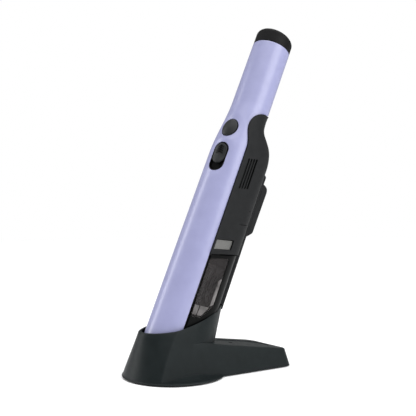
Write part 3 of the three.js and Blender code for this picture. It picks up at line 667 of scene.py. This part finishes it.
def camera():
    """A long lens to the right of the wand's front."""
    data = bpy.data.cameras.new("camera")
    data.lens = 55.87
    data.sensor_width = 36
    data.clip_start = 0.05
    yaw, pitch = radians(55.94), radians(1.56)
    level = cos(pitch)
    look = (-sin(yaw) * level, cos(yaw) * level, sin(pitch))
    bpy.context.scene.camera = add_holder("camera", data, Vector(CAMERA_PLACE) * MM, look)


def area_light(name, place, target, size, power):
    """A rectangular softbox that faces a target, in metres and watts."""
    data = bpy.data.lights.new(name, "AREA")
    data.shape = "RECTANGLE"
    data.size, data.size_y = size
    data.energy = power
    add_holder(name, data, place, Vector(target) - Vector(place))


def sky_light(name, heading, strength, spread):
    """A very wide sun, which lights like an overcast sky."""
    data = bpy.data.lights.new(name, "SUN")
    data.energy = strength
    data.angle = radians(spread)
    add_holder(name, data, (0, 0, 0), heading)


def studio():
    """Floor and soft light; the world is brighter where the backdrop shows."""
    paint = Paint("studio_floor", 0.7)
    paint.set("Base Color", paint.blend(paint.noise(60, 3), (250, 250, 251), (253, 253, 254)))
    corners = [Vector((x * FLOOR_HALF, y * FLOOR_HALF, 0))
               for x, y in ((-1, -1), (1, -1), (1, 1), (-1, 1))]
    floor = mesh_object("studio_floor", corners, [(0, 1, 2, 3)])
    floor.data.materials.append(paint.material)
    world = bpy.data.worlds.new("studio")
    world.use_nodes = True
    tree = world.node_tree
    background = tree.nodes["Background"]
    fill(background, {"Color": (1, 1, 1, 1)})
    ray = tree.nodes.new("ShaderNodeLightPath")
    level = tree.nodes.new("ShaderNodeMapRange")
    fill(level, {"To Min": SKY_ON_SURFACES, "To Max": SKY_ON_BACKDROP})
    tree.links.new(ray.outputs["Is Camera Ray"], level.inputs["Value"])
    tree.links.new(level.outputs["Result"], background.inputs["Strength"])
    bpy.context.scene.world = world
    bpy.context.scene.view_settings.view_transform = "Standard"
    sky_light("sky", heading=(-0.2, -0.05, -1), strength=2.75, spread=75)
    area_light("left_softbox", place=(-0.75, -0.75, 0.55), target=(0, 0, 0.2),
               size=(0.3, 1.3), power=6.4)
    area_light("right_softbox", place=(1.05, 0.5, 0.75), target=(0, 0.1, 0.32),
               size=(0.8, 1.0), power=8.8)


camera()
studio()


# ---- front shell
SHELL_WALL = 1.4
BUTTON_S = 289
BUTTON_HALF = 9.8
BUTTON_RISE = 11.3
SLIDER_S = 251.5
SLIDER_HALF = 9
SLIDER_RISE = 17.5
SLIDER_TRAVEL = 8
DISH_DEPTH = 0.7
DISH_MARGIN = 1
DISH_SLOPE = 8
BUTTON_HOLE = oval(BUTTON_HALF + GAP, BUTTON_RISE + GAP, (0, BUTTON_S))
SLIDER_HOLE = stadium(SLIDER_HALF + 0.5, SLIDER_RISE + 0.5, (0, SLIDER_S))
KNEE_S = 272


def parting(offset, bottom):
    """Line (r, s) between the front shell and the rear pieces, from its foot up."""
    waist_r = offset - 5.6
    knee = (offset, KNEE_S)
    waist = (waist_r, 298)
    shoulder = (14, 320.2 - offset)
    tip = (30, 331.5 - offset)
    rows = max(2, round((KNEE_S - bottom) / 2.5))
    line = [(offset, s) for s in spaced(bottom, KNEE_S, rows)]
    line += curve(14, knee, (offset, 282), (waist_r, 288), waist)
    line += curve(30, waist, (waist_r, 307), (offset - 0.5, 317.5 - offset), shoulder)
    line += curve(24, shoulder, (19.5, 322.4 - offset), tip)
    return line


def run_along(edge):
    """Distance along an (angle, s) edge to each of its points."""
    lengths = [0]
    for (a0, s0), (a1, s1) in zip(edge, edge[1:]):
        lengths.append(lengths[-1] + hypot((a1 - a0) * BODY_R, s1 - s0))
    return lengths


def dish(angle, s):
    """Depth of the shell's soft hollow round its two controls."""
    a = BODY_R * (angle - CONTROL_TURN)
    half, rise = BUTTON_HALF + DISH_MARGIN, BUTTON_RISE + DISH_MARGIN
    button = hypot(a / half, (s - BUTTON_S) / rise) * half
    along = max(0, abs(s - SLIDER_S) - SLIDER_RISE + SLIDER_HALF)
    slider = hypot(a, along) + half - (SLIDER_HALF + DISH_MARGIN)
    return DISH_DEPTH * (1 - ramp(min(button, slider), BUTTON_HALF, BUTTON_HALF + DISH_SLOPE))


def shell_point(angle, s):
    """A point of the front shell, its angle counted from its middle."""
    radius = half_width(s) - dish(angle, s)
    return on_wand(radius * sin(angle), axis_shift(s) - radius * cos(angle), s)


def shell_over(a, s):
    """Outward height of the hollowed shell round the controls."""
    return front_height(a, s) - DISH_DEPTH


def shell_edge():
    """The shell's free edge as (angle, s), from its foot up."""
    edge = []
    for r, s in parting(-GAP / 2, WAND_BOTTOM):
        reach = (axis_shift(s) - r) / half_width(s)
        if reach <= -1:
            break
        edge.append((acos(min(1, reach)), s))
    last = edge[-1][1] + 0.15
    return edge + [(pi, s) for s in spaced(last, HANDLE_TOP, 34)]


def front_shell():
    """The long half tube, a full round at the handle."""
    edge = shell_edge()
    lengths = run_along(edge)
    rows = []
    for (angle, s), length in zip(edge, lengths):
        front_s = WAND_BOTTOM + (HANDLE_TOP - WAND_BOTTOM) * length / lengths[-1]
        rows.append([shell_point(angle * u, front_s + (s - front_s) * abs(u))
                     for u in spaced(-1, 1, 97)])
    piece = thicken(sheet_of("front_shell_skin", rows), SHELL_WALL, 0.6)
    carve(piece, sunk("button_hole", BUTTON_HOLE, shell_over, 9, 0.5, on_controls),
          sunk("slider_hole", SLIDER_HOLE, shell_over, 9, 0.5, on_controls))
    finish(piece, "wand", "lavender_shell", ["front_shell"])


# ---- rear housing
# Outlines on the housing's side, as (r, s).
HOUSING_WALL = 1.8
VENT_FRONT = 7.6
VENT_STEP = 3.55
VENT_COUNT = 4
VENT_HALF = 0.8
VENT_LOW = 221.2
VENT_LENGTH = 37
VENT_SCREEN = [(4.6, 220.5), (21.5, 226.5), (21.5, 266), (4.6, 260)]
VENT_SCREEN_RISES = (-2.9, -2.2)
BADGE = [(2.6, 149), (24, 156.2), (24, 167.2), (2.6, 160.3)]
BADGE_MARGIN = 0.1
BADGE_PROUD = 0.25
SIDE_SEAM = [(25.5, 187), (35.5, 190.4), (35.5, 191.1), (25.5, 187.7)]
SIDE_DOT = oval(0.7, 0.7, (33.5, 207), 16)


def seam_at(r):
    """Height of the slanting seam between the housing and the bin."""
    return SEAM_S + SEAM_SLOPE * r


def angle_at(r, s):
    """The angle at which the body's rear half reaches a rearward place."""
    shift = axis_shift(s)
    if r <= shift:
        return asin(max(-1, (r - shift) / half_width(s)))
    share = min(1, (r - shift) / (rear_of(s) - shift))
    return asin(share ** (1 / power_at(s)))


def housing_edge():
    """The housing's front edge as (angle, s), from its foot up."""
    edge = []
    for r, s in parting(GAP / 2, seam_at(GAP / 2) + GAP):
        if r >= rear_of(s) - 0.05:
            break
        edge.append((angle_at(r, s), s))
    return edge + [(pi / 2, edge[-1][1] + 0.3)]


def vent_cutter(r):
    """One upright slot through both sides."""
    outline = [(r + x, y + SEAM_SLOPE * (r + x))
               for x, y in stadium(VENT_HALF, VENT_LENGTH / 2, (0, VENT_LOW + VENT_LENGTH / 2), 8)]
    return through("vent", outline, 0.3)


def rear_housing():
    """The motor's housing, its lower rim following the seam all round."""
    edge = housing_edge()
    lengths = run_along(edge)
    foot, tip = edge[0][1], edge[-1][1]
    rear_foot = seam_at(HOUSING_REAR) + GAP
    rows = []
    for (angle, s), length in zip(edge, lengths):
        share = length / lengths[-1]
        rear_s = rear_foot + (tip - rear_foot) * share
        half = []
        for u in spaced(0, 1, 57):
            here = angle + (pi / 2 - angle) * u
            level = s + (rear_s - s) * u
            straight = foot + (rear_foot - foot) * u
            r = body_section()(here, level)[1]
            level += (seam_at(r) + GAP - straight) * (1 - share) ** 6
            half.append((here, level))
        row = [body_point(a, level) for a, level in half]
        row += [body_point(pi - a, level) for a, level in reversed(half[:-1])]
        rows.append(row)
    piece = thicken(sheet_of("rear_housing_skin", rows), HOUSING_WALL, 0.35)
    carve(piece, *[vent_cutter(VENT_FRONT + VENT_STEP * i) for i in range(VENT_COUNT)],
          *recesses(shrunk(rounded(BADGE, 0.8), -0.45), 1),
          *recesses(SIDE_SEAM, 0.7), *recesses(SIDE_DOT, 0.7))
    screen = rounded(VENT_SCREEN, 2)
    for side, name in SIDES:
        plate = prism(f"vent_screen_{name}", screen, VENT_SCREEN_RISES, partial(on_side, side))
        finish(plate, "wand", "black_plastic")
    finish(piece, "wand", "charcoal_plastic", ["rear_housing"])


def badge_plate(side, name):
    """A blank metal plate let into the housing's side."""
    (front_r, front_low), (rear_r, rear_low), (_, rear_high), (_, front_high) = BADGE
    rows = []
    for v in spaced(0, 1, 12):
        row = []
        for u in spaced(0, 1, 24):
            r = front_r + BADGE_MARGIN + (rear_r - front_r - 2 * BADGE_MARGIN) * u
            low_s = front_low + (rear_low - front_low) * u + BADGE_MARGIN
            high_s = front_high + (rear_high - front_high) * u - BADGE_MARGIN
            row.append(on_side(side, r, low_s + (high_s - low_s) * v, BADGE_PROUD))
        rows.append(row if side > 0 else row[::-1])
    piece = thicken(sheet_of(f"badge_plate_{name}_skin", rows), 1.0, 0.22)
    finish(piece, "wand", "silver_plate", [f"badge_plate_{name}"])


# ---- bin
BIN_LOW = 31
BIN_WALL = 2
BIN_SEAM = 0.8
# Corners (r, s) of the window on the bin's side, and the way each moves as it grows.
WINDOW = [((3, 73), (-1, -1)), ((16, 74.5), (0.5, -1)), ((28, 91), (1, -0.5)),
          ((28, 147.5), (1, 1)), ((3, 138.5), (-1, 1))]
DOORWAY = ((-9.5, 30, 106), (9.5, 60, 147))
INLET_PORT = ((-14, -5, 106), (14, 5, 136))
CUP_LOW = 33.8
CUP_TOP = 147
CUP_INSET = 2.3
CUP_WALL = 1.5
CUP_FLOOR = 1.6
PANE_INSET = 0.5
CUP_FACETS = [
    [(22.8, 90), (27.3, 93.5), (27.3, 123), (23.4, 120)],
    [(10.2, 76.2), (15.6, 77), (22.3, 88.4), (11, 87.2)],
    [(4, 75.8), (9.2, 76.1), (10, 87), (4, 86.2)],
]
FACET_STEPS = ((-0.9, 0), (-0.25, 0), (-0.05, 0.25))
FILTER_R = 16
FILTER_LOW = 92
FILTER_LENGTH = 54
FILTER_RADIUS = 8.4
FILTER_FLARE = 3.2
CAGE_BARS = 24
CAGE_HOOPS = 17


def window_outline(grow):
    """The window's outline, grown all round."""
    return rounded([(r + grow * dr, s + grow * ds) for (r, s), (dr, ds) in WINDOW], 3)


def behind(name, r):
    """A block that holds all of the wand behind a place r."""
    return block(name, (-60, r, 0), (60, 80, 300))


def bin_frame():
    """The black frame of the bin, from above the nozzle up to the seam."""
    rows = []
    for share in spaced(0, 1, 60):
        row = []
        for angle in spaced(0.004, pi - 0.004, 113):
            r = body_section()(angle, BIN_LOW)[1]
            row.append(body_point(angle, BIN_LOW + (seam_at(r) - BIN_SEAM - BIN_LOW) * share))
        rows.append(row)
    piece = thicken(sheet_of("bin_frame_shell", rows), BIN_WALL, 0.35)
    carve(piece, through("window", window_outline(0), 0.45), block("doorway", *DOORWAY))
    finish(piece, "wand", "gloss_black", ["bin_frame"])


def dust_cup():
    """The clear cup, with panes that fill the frame's two windows."""
    piece = loft("dust_cup_clear", [CUP_LOW, CUP_TOP], body_section(CUP_INSET))
    carve(piece, behind("rear_half", GAP), how="INTERSECT")
    panes = loft("panes", [BIN_LOW, 175], body_section(PANE_INSET))
    carve(panes, through("pane_outline", window_outline(-GAP), 0.3), how="INTERSECT")
    carve(piece, panes, how="UNION")
    bore = loft("cup_bore", [CUP_LOW + CUP_FLOOR, 160], body_section(CUP_INSET + CUP_WALL))
    carve(bore, behind("bore_limit", GAP + CUP_WALL), how="INTERSECT")
    carve(piece, bore, block("inlet_port", *INLET_PORT), block("doorway", *DOORWAY))
    finish(piece, "wand", "smoked_clear", ["dust_cup"])


def cup_facets():
    """The thick bevels along the panes, in a pale clear whose light tone paints the glints they catch."""
    facets = []
    for corners in CUP_FACETS:
        outline = rounded(corners, 0.7)
        for side in (1, -1):
            rings = [[on_side(side, r, s, rise) for r, s in shrunk(outline, inset)]
                     for rise, inset in FACET_STEPS]
            facets.append(rings_of("cup_facets", rings))
    piece = carve(facets[0], *facets[1:], how="UNION")
    # The bevels are real shape; their pale material paints their glints.
    finish(piece, "wand", "frosted_clear")


def filter_cage():
    """Cone-shaped wire screen round the felt sleeve."""
    rings = []
    for s in spaced(92.5, 145.5, CAGE_HOOPS):
        radius = FILTER_RADIUS + FILTER_FLARE * (s - FILTER_LOW) / FILTER_LENGTH
        rings.append([on_wand(x, r, s) for x, r in oval(radius, radius, (0, FILTER_R), CAGE_BARS)])
    faces = grid_faces(CAGE_HOOPS, CAGE_BARS, True)
    piece = mesh_object("filter_screen_mesh", sum(rings, []), faces)
    piece.modifiers.new("wire", "WIREFRAME").thickness = 0.5 * MM
    settle(piece)
    finish(piece, "wand", "steel", ["filter_screen"], 60)


# ---- bin door
DOOR_LOW = 99.6
DOOR_FRONT = 43.7
DOOR_REAR = 48.6
DOOR_HALF = 12
# A thin lip below the leaf, behind the dock's collar.
DOOR_LIP = [(46.7, 99.3), (47.6, 98.6), (48, 94.5), (DOOR_REAR, 94.5)]
DOOR_PLUG = ((-9, 38.8, 106.6), (9, DOOR_FRONT + 1, 146.4))
PIN = ((DOOR_FRONT + DOOR_REAR) / 2, 256.4)
EAR_REACH = 3.5
EAR_INNER = 7.4
EAR_OUTER = 10.8
EAR_ROOT = HOUSING_REAR - 1.2
NOTCH_X = 9.1
NOTCH_HALF = 2.1
STEP_X = 12.4
STEP_HALF = 0.75
PAD_BASE = DOOR_REAR + GAP
PAD_MIDDLE_S = 215.8
PAD_HALF_S = 36.5
PAD_RISE = 7.7
PAD_PROFILE = [
    (179, 0), (180.5, 0.6), (184, 3), (189, PAD_RISE - 1), (196, PAD_RISE), (241, PAD_RISE + 0.4),
    (246.5, PAD_RISE), (249.4, PAD_RISE - 1.4), (251.2, PAD_RISE - 3.6), (252.2, 1),
]


def sideways(r, s, x):
    """A point of the wand from an outline (r, s) run across it."""
    return on_wand(x, r, s)


def bin_door():
    """The spine: a long leaf, with a plug that shuts the bin."""
    crown = arc(PIN, (DOOR_REAR - DOOR_FRONT) / 2, 0, pi)
    outline = [(DOOR_FRONT, DOOR_LOW)] + DOOR_LIP + crown
    piece = slab("bin_door_leaf", outline, -DOOR_HALF, DOOR_HALF, 0.35, sideways)
    carve(piece, block("plug", *DOOR_PLUG), how="UNION")
    for side in (-1, 1):
        notch_x, step_x = side * NOTCH_X, side * STEP_X
        carve(piece,
              block("notch", (notch_x - NOTCH_HALF, 40, 252), (notch_x + NOTCH_HALF, 52, 262)),
              block("side_step", (step_x - STEP_HALF, DOOR_FRONT - 1, 90),
                    (step_x + STEP_HALF, 45.9, 270)))
    finish(piece, "bin_door", "charcoal_plastic", ["bin_door"])


def pad_height(x, s):
    """Rear face of the raised pad."""
    rise = 0
    for (s0, rise0), (s1, rise1) in zip(PAD_PROFILE, PAD_PROFILE[1:]):
        if s0 <= s <= s1:
            rise = rise0 + (rise1 - rise0) * (s - s0) / (s1 - s0)
    return PAD_BASE + max(0.2, rise) - 0.3 * (x / DOOR_HALF) ** 2


def door_pad():
    """The raised pad on the spine."""
    outline = stadium(DOOR_HALF - 0.2, PAD_HALF_S, (0, PAD_MIDDLE_S), 20)
    piece = mound("door_pad_grip", outline, pad_height, PAD_BASE, 0.8, swapped(on_wand), 2, 22)
    finish(piece, "bin_door", "charcoal_plastic", ["door_pad"])


def hinge_ears():
    """The two ears of the housing that carry the door's hinge pin."""
    outline = arc(PIN, EAR_REACH, -pi / 2, pi / 2)
    outline += [(EAR_ROOT, PIN[1] + EAR_REACH), (EAR_ROOT, PIN[1] - EAR_REACH)]
    for side, name in SIDES:
        ends = sorted((side * EAR_INNER, side * EAR_OUTER))
        ear = slab(f"hinge_ear_{name}", outline, *ends, 0.4, sideways)
        finish(ear, "wand", "charcoal_plastic")


# ---- controls
BUTTON_PLAY = 0.5
BUTTON_PROUD = 1.0
BUTTON_CROWN = 1.5
BEZEL_DROP = 0.15
BEZEL_OUT = 0.2
BEZEL_IN = 0.6
WELL_DEPTH = 2.6
THUMB_S = SLIDER_S + SLIDER_TRAVEL / 2
THUMB_HALF = SLIDER_HALF - 1.1
THUMB_RISE = SLIDER_RISE - 1.6 - SLIDER_TRAVEL / 2
THUMB_PROUD = 0.5
CHEVRONS = 4
CHEVRON_STEP = 2.5
CHEVRON_DROP = 2.3
CHEVRON_BAR = 1.1


def power_button():
    """The domed oval button."""
    outline = oval(BUTTON_HALF - BUTTON_PLAY, BUTTON_RISE - BUTTON_PLAY, (0, BUTTON_S), 96)

    def height(a, s):
        out = (a / BUTTON_HALF) ** 2 + ((s - BUTTON_S) / BUTTON_RISE) ** 2
        return front_height(a * 0.85, s) - DISH_DEPTH + BUTTON_PROUD + BUTTON_CROWN * (1 - out)

    piece = mound("power_button_cap", outline, height, 18.5, 0.7, swapped(on_controls), 2, 14)
    finish(piece, "power_button", "button_plastic", ["power_button"])


def slider_outline(grow):
    """The slider's recess, grown all round."""
    return stadium(SLIDER_HALF + grow, SLIDER_RISE + grow, (0, SLIDER_S), 32)


def slider_bezel():
    """The black tray that the slider runs in."""
    def height(a, s):
        return shell_over(a, s) - BEZEL_DROP

    outline = slider_outline(BEZEL_OUT)
    piece = mound("slider_bezel_ring", outline, height, 18, 0.4, swapped(on_controls), 1, 10)
    well = slider_outline(-BEZEL_IN)
    carve(piece, sunk("slider_well", well, height, WELL_DEPTH, 0.35, on_controls))
    finish(piece, "wand", "gloss_black", ["slider_bezel"])


def eject_slider():
    """The slider's pad, scooped for a finger, and the chevrons on it."""
    def height(a, s):
        scoop = 0.5 * exp(-((s - THUMB_S + 3) / 5) ** 2)
        return shell_over(a, THUMB_S) + THUMB_PROUD - scoop

    outline = stadium(THUMB_HALF, THUMB_RISE, (0, THUMB_S), 32)
    piece = mound("eject_slider_pad", outline, height, 21.9, 0.6, swapped(on_controls), 2, 16)
    finish(piece, "eject_slider", "button_plastic", ["eject_slider"])
    for i in range(CHEVRONS):
        tip = THUMB_S + 1.5 + CHEVRON_STEP * i
        arm, low = 4.6 - 0.35 * i, tip - CHEVRON_DROP
        chevron = [(-arm, low), (0, tip), (arm, low), (arm, low + CHEVRON_BAR),
                   (0, tip + CHEVRON_BAR), (-arm, low + CHEVRON_BAR)]
        rib = mound(f"slider_chevron_{i + 1}", chevron, lambda a, s: height(a, s) + 0.5, 22, 0.2,
                    swapped(on_controls), 1, 1)
        finish(rib, "eject_slider", "gloss_black")


# ---- cap
CAP_EDGE = 4.4
CAP_CROWN = 1.6
CAP_SKIRT = HANDLE_R - 0.1
LATCH_HALF = 6
LATCH_LOW = 410.2
LATCH_HIGH = 416.6
LATCH_DEPTH = 3
LATCH_PROUD = 0.55
LATCH_RECESS = 5.4


def cap_warp(x, r, s):
    """The cap's top slants: it falls towards the rear."""
    rise = max(0, (s - HANDLE_TOP) / (CAP_TOP - HANDLE_TOP))
    return s - CAP_SLANT * rise * (r - HANDLE_SHIFT)


def handle_over(x):
    """Rearward reach of the handle's surface, at a place across it."""
    return HANDLE_SHIFT + sqrt(HANDLE_R ** 2 - x * x)


def latch_outline(grow):
    """The latch seen from behind, grown all round."""
    half, low, high = LATCH_HALF + grow, LATCH_LOW - grow, LATCH_HIGH + grow
    return rounded([(-half, low), (half, low), (half, high), (-half, high)], 1.6)


def battery_cap():
    """The end cap."""
    foot = HANDLE_TOP + GAP
    profile = [(0, foot), (CAP_SKIRT - 0.4, foot), (CAP_SKIRT - 0.1, foot + 0.1),
               (CAP_SKIRT, foot + 0.4)]
    profile += [(CAP_SKIRT, s) for s in spaced(HANDLE_TOP + 2, CAP_TOP - CAP_EDGE - 0.5, 6)]
    for t in spaced(0, radians(76), 14):
        profile.append((CAP_SKIRT - CAP_EDGE * (1 - cos(t)),
                        CAP_TOP - CAP_EDGE * (1 - sin(t))))
    edge_r, edge_s = profile[-1]
    profile += [(edge_r * u, edge_s + CAP_CROWN * (1 - u * u)) for u in spaced(0.93, 0, 12)]
    piece = lathe("battery_cap_shell", profile, 128, (0, HANDLE_SHIFT), warp=cap_warp)
    carve(piece, prism("latch_recess", latch_outline(GAP), (-LATCH_RECESS, 4),
                       lambda x, s, rise: on_wand(x, handle_over(x) + rise, s)))
    finish(piece, "battery", "cap_plastic", ["battery_cap"])


def battery_latch():
    """The latch that is pressed into the cap to free the pack."""
    def height(x, s):
        return handle_over(x) + LATCH_PROUD

    def place(x, s, level):
        return on_wand(x, max(level, handle_over(x) - LATCH_DEPTH), s)

    piece = mound("battery_latch_tab", latch_outline(0), height, 0, 0.5, place, 1, 5)
    finish(piece, "battery_latch", "cap_plastic", ["battery_latch"])


# ---- dock
FLANGE_R = 55.5
DOCK_LOW = 1.2
DOCK_WALL = 2.4
SIDE_HALF = 39.5
SIDE_DRAFT = 0.0048
DOCK_LEAN = 0.315
FRONT_LAG = 0.0037
COLLAR_REAR = 33.5
CORNER_Y = -sqrt(FLANGE_R ** 2 - SIDE_HALF ** 2)
CORNER_EASE = 1.6
FLANK_END = -14
RIM_FRONT = 49
RIM_REAR = 72.6
RIM_RISE = 3.75
RIM_ROUND = 0.6
RIM_START_Y = -40
RIM_RUN = 92
POCKET_FLOOR = 6
SEAT = WAND_BOTTOM - 0.4
PLAIN_S = 100
PLATE_TOP = 3.6
TAIL_START = -20
TAIL_ROOT = 20
TAIL_BEND = 52
TAIL_END = 138
TAIL_CORNER = 14
TAIL_DRAFT = 0.27
# (y, z) of the curves that the tail's top follows.
TAIL_SHOULDER = ((TAIL_ROOT, 37.4), (36, 34.3), (TAIL_BEND, 31.8))
TAIL_FALL = ((TAIL_BEND, 31.8), (96, 25.6), (170, 15.6))
JACK_Z = 10.5
JACK_RADIUS = 5.4


def collar_plan(inset):
    """The collar's outline at floor level."""
    half, reach, rear = SIDE_HALF - inset, FLANGE_R - inset, COLLAR_REAR - inset
    corner_y = -sqrt(reach * reach - half * half)
    corner_end = (half, corner_y + CORNER_EASE)
    waist = (22 - inset, rear - 4)
    turn = asin(half / reach) - CORNER_EASE / reach
    right = [(reach * sin(t), -reach * cos(t)) for t in spaced(0, turn, 40)]
    right += curve(6, right[-1], (half, corner_y), corner_end)
    right += [(half, y) for y in spaced(corner_end[1], FLANK_END, 9)[1:]]
    right += curve(24, (half, FLANK_END), (half, 6), (half - 8, 20), waist)
    right += curve(7, waist, (19 - inset, rear), (12, rear))
    right += [(x, rear) for x in spaced(12, 0, 4)[1:]]
    return right + [(-x, y) for x, y in reversed(right[1:-1])]


def risen(x, y, z):
    """A point of the collar, which draws in and leans back as it rises."""
    front = min(1, max(0, (y + FLANGE_R) / (FLANGE_R + CORNER_Y)))
    rear = min(1, max(0, (COLLAR_REAR - y) / (COLLAR_REAR - CORNER_Y)))
    lag = FRONT_LAG * z * z * min(front, rear)
    return on_dock(x * (1 - SIDE_DRAFT * z), y + DOCK_LEAN * z + lag, z)


def rim_level(x, y):
    """Height of the collar's rim over a place in its plan."""
    z = 60
    for _ in range(30):
        along = min(1, max(0, (risen(x, y, z).y / MM - RIM_START_Y) / RIM_RUN))
        z = RIM_FRONT + RIM_RISE * along + (RIM_REAR - RIM_FRONT - RIM_RISE) * along ** 2
    return z


def tail_top(x, y):
    """Height of the tail's falling top."""
    if y < TAIL_BEND:
        t = min(1, max(0, (y - TAIL_ROOT) / (TAIL_BEND - TAIL_ROOT)))
        return bezier(t, *TAIL_SHOULDER)[1]
    return bezier(crossing(lambda t: bezier(t, *TAIL_FALL)[0] < y), *TAIL_FALL)[1]


def tail_plan(inset):
    """The tail's outline at floor level."""
    half, end = SIDE_HALF - inset, TAIL_END - inset
    right = [(half, y) for y in spaced(TAIL_START, end - TAIL_CORNER, 36)]
    right += curve(16, right[-1], (half, end), (half - TAIL_CORNER, end))
    right += [(x, end) for x in spaced(half - TAIL_CORNER, 0, 8)[1:]]
    return right + [(-x, y) for x, y in reversed(right[:-1])]


def on_tail(x, y, z):
    """A point of the tail, which draws in as it rises."""
    end_draft = TAIL_DRAFT * max(0, (y - TAIL_ROOT) / (TAIL_END - TAIL_ROOT)) * z
    return on_dock(x * (1 - SIDE_DRAFT * z), y - end_draft, z)


def wand_sweep(name, clear, low, high):
    """The wand's own outline with clearance, run along the wand."""
    return loft(name, [low, high], lambda angle, s: body_section(-clear)(angle, PLAIN_S), 96)


def dock_pocket():
    """The collar's inside, no wider than the wand needs."""
    wall = collar_plan(DOCK_WALL)
    tops = [rim_level(x, y) for x, y in wall]
    rings = []
    for share in spaced(0, 1, 12)[:-1]:
        rings.append([risen(x, y, POCKET_FLOOR + (top - RIM_ROUND - POCKET_FLOOR) * share)
                      for (x, y), top in zip(wall, tops)])
    for rise, inset in rim_steps(RIM_ROUND, 6):
        rings.append([risen(x, y, top + rise) for (x, y), top in zip(shrunk(wall, inset), tops)])
    limit = wand_sweep("pocket_limit", 8.5, SEAT + 9, 160)
    return carve(rings_of("pocket", rings), limit, how="INTERSECT")


def plate_recess():
    """Cutters for the hollow that takes the base plate."""
    return [prism("plate_recess", plan(DOCK_WALL), (-1, PLATE_TOP), place)
            for plan, place in ((collar_plan, risen), (tail_plan, on_tail))]


def jack_hole():
    """A cutter for the socket in the tail's end."""
    outline = oval(JACK_RADIUS, JACK_RADIUS, (0, JACK_Z), 48)
    return prism("jack", outline, (TAIL_END - 20, TAIL_END + 10), swapped(on_dock))


def flange_solid():
    """The round foot: a thin edge that sweeps up into the collar."""
    top_r = FLANGE_R - 2
    profile = [(0, DOCK_LOW), (FLANGE_R - 0.5, DOCK_LOW), (FLANGE_R - 0.1, DOCK_LOW + 0.25),
               (FLANGE_R, DOCK_LOW + 0.7), (FLANGE_R - 0.2, 2.4), (FLANGE_R - 0.8, 2.9)]
    for r in spaced(top_r, SIDE_HALF - 4, 12):
        profile.append((r, 3.1 + 4.2 * ((top_r - r) / (FLANGE_R - SIDE_HALF)) ** 1.8))
    return lathe("flange", profile + [(0, 12)], 160, place=on_dock)


def dock_body():
    """The dock in one moulding: collar, tail and flange."""
    piece = mound("dock_shell", collar_plan(0), rim_level, DOCK_LOW, 0.5, risen, 12, 6)
    tail = mound("tail", tail_plan(0.02), tail_top, DOCK_LOW, 1.1, on_tail, 4, 4)
    carve(piece, tail, flange_solid(), how="UNION")
    carve(piece, dock_pocket(), wand_sweep("seat", 0.5, SEAT, 120), *plate_recess(),
          sunk("tray", stadium(19, 34, (0, 92), 32), tail_top, 1.2, 0.6, swapped(on_dock)),
          sunk("key_hole", oval(2.6, 2.6, (0, 76), 32), tail_top, 8, 0.3,
               lambda x, z, y: on_dock(x, y, z - 1)),
          jack_hole())
    finish(piece, "dock", "dock_plastic", ["dock_body"], 30)


# ---- assembly
def dress_cad_nodes():
    """Gives each CAD node its material and soft edges."""
    slots = {part["node"]: part["material_slot"] for part in frame["record"]["subparts"]}
    for name, piece in frame["nodes"].items():
        piece.data.materials.clear()
        piece.data.materials.append(MATERIALS[slots[name]])
        if not piece.hide_render:
            soften(piece, 0.25, 2)
            piece.modifiers.new("normals", "WEIGHTED_NORMAL").keep_sharp = True
            piece.data.shade_smooth()


front_shell()
rear_housing()
for side, name in SIDES:
    badge_plate(side, name)
bin_frame()
dust_cup()
cup_facets()
filter_cage()
bin_door()
door_pad()
hinge_ears()
power_button()
slider_bezel()
eject_slider()
battery_cap()
battery_latch()
dock_body()
dress_cad_nodes()
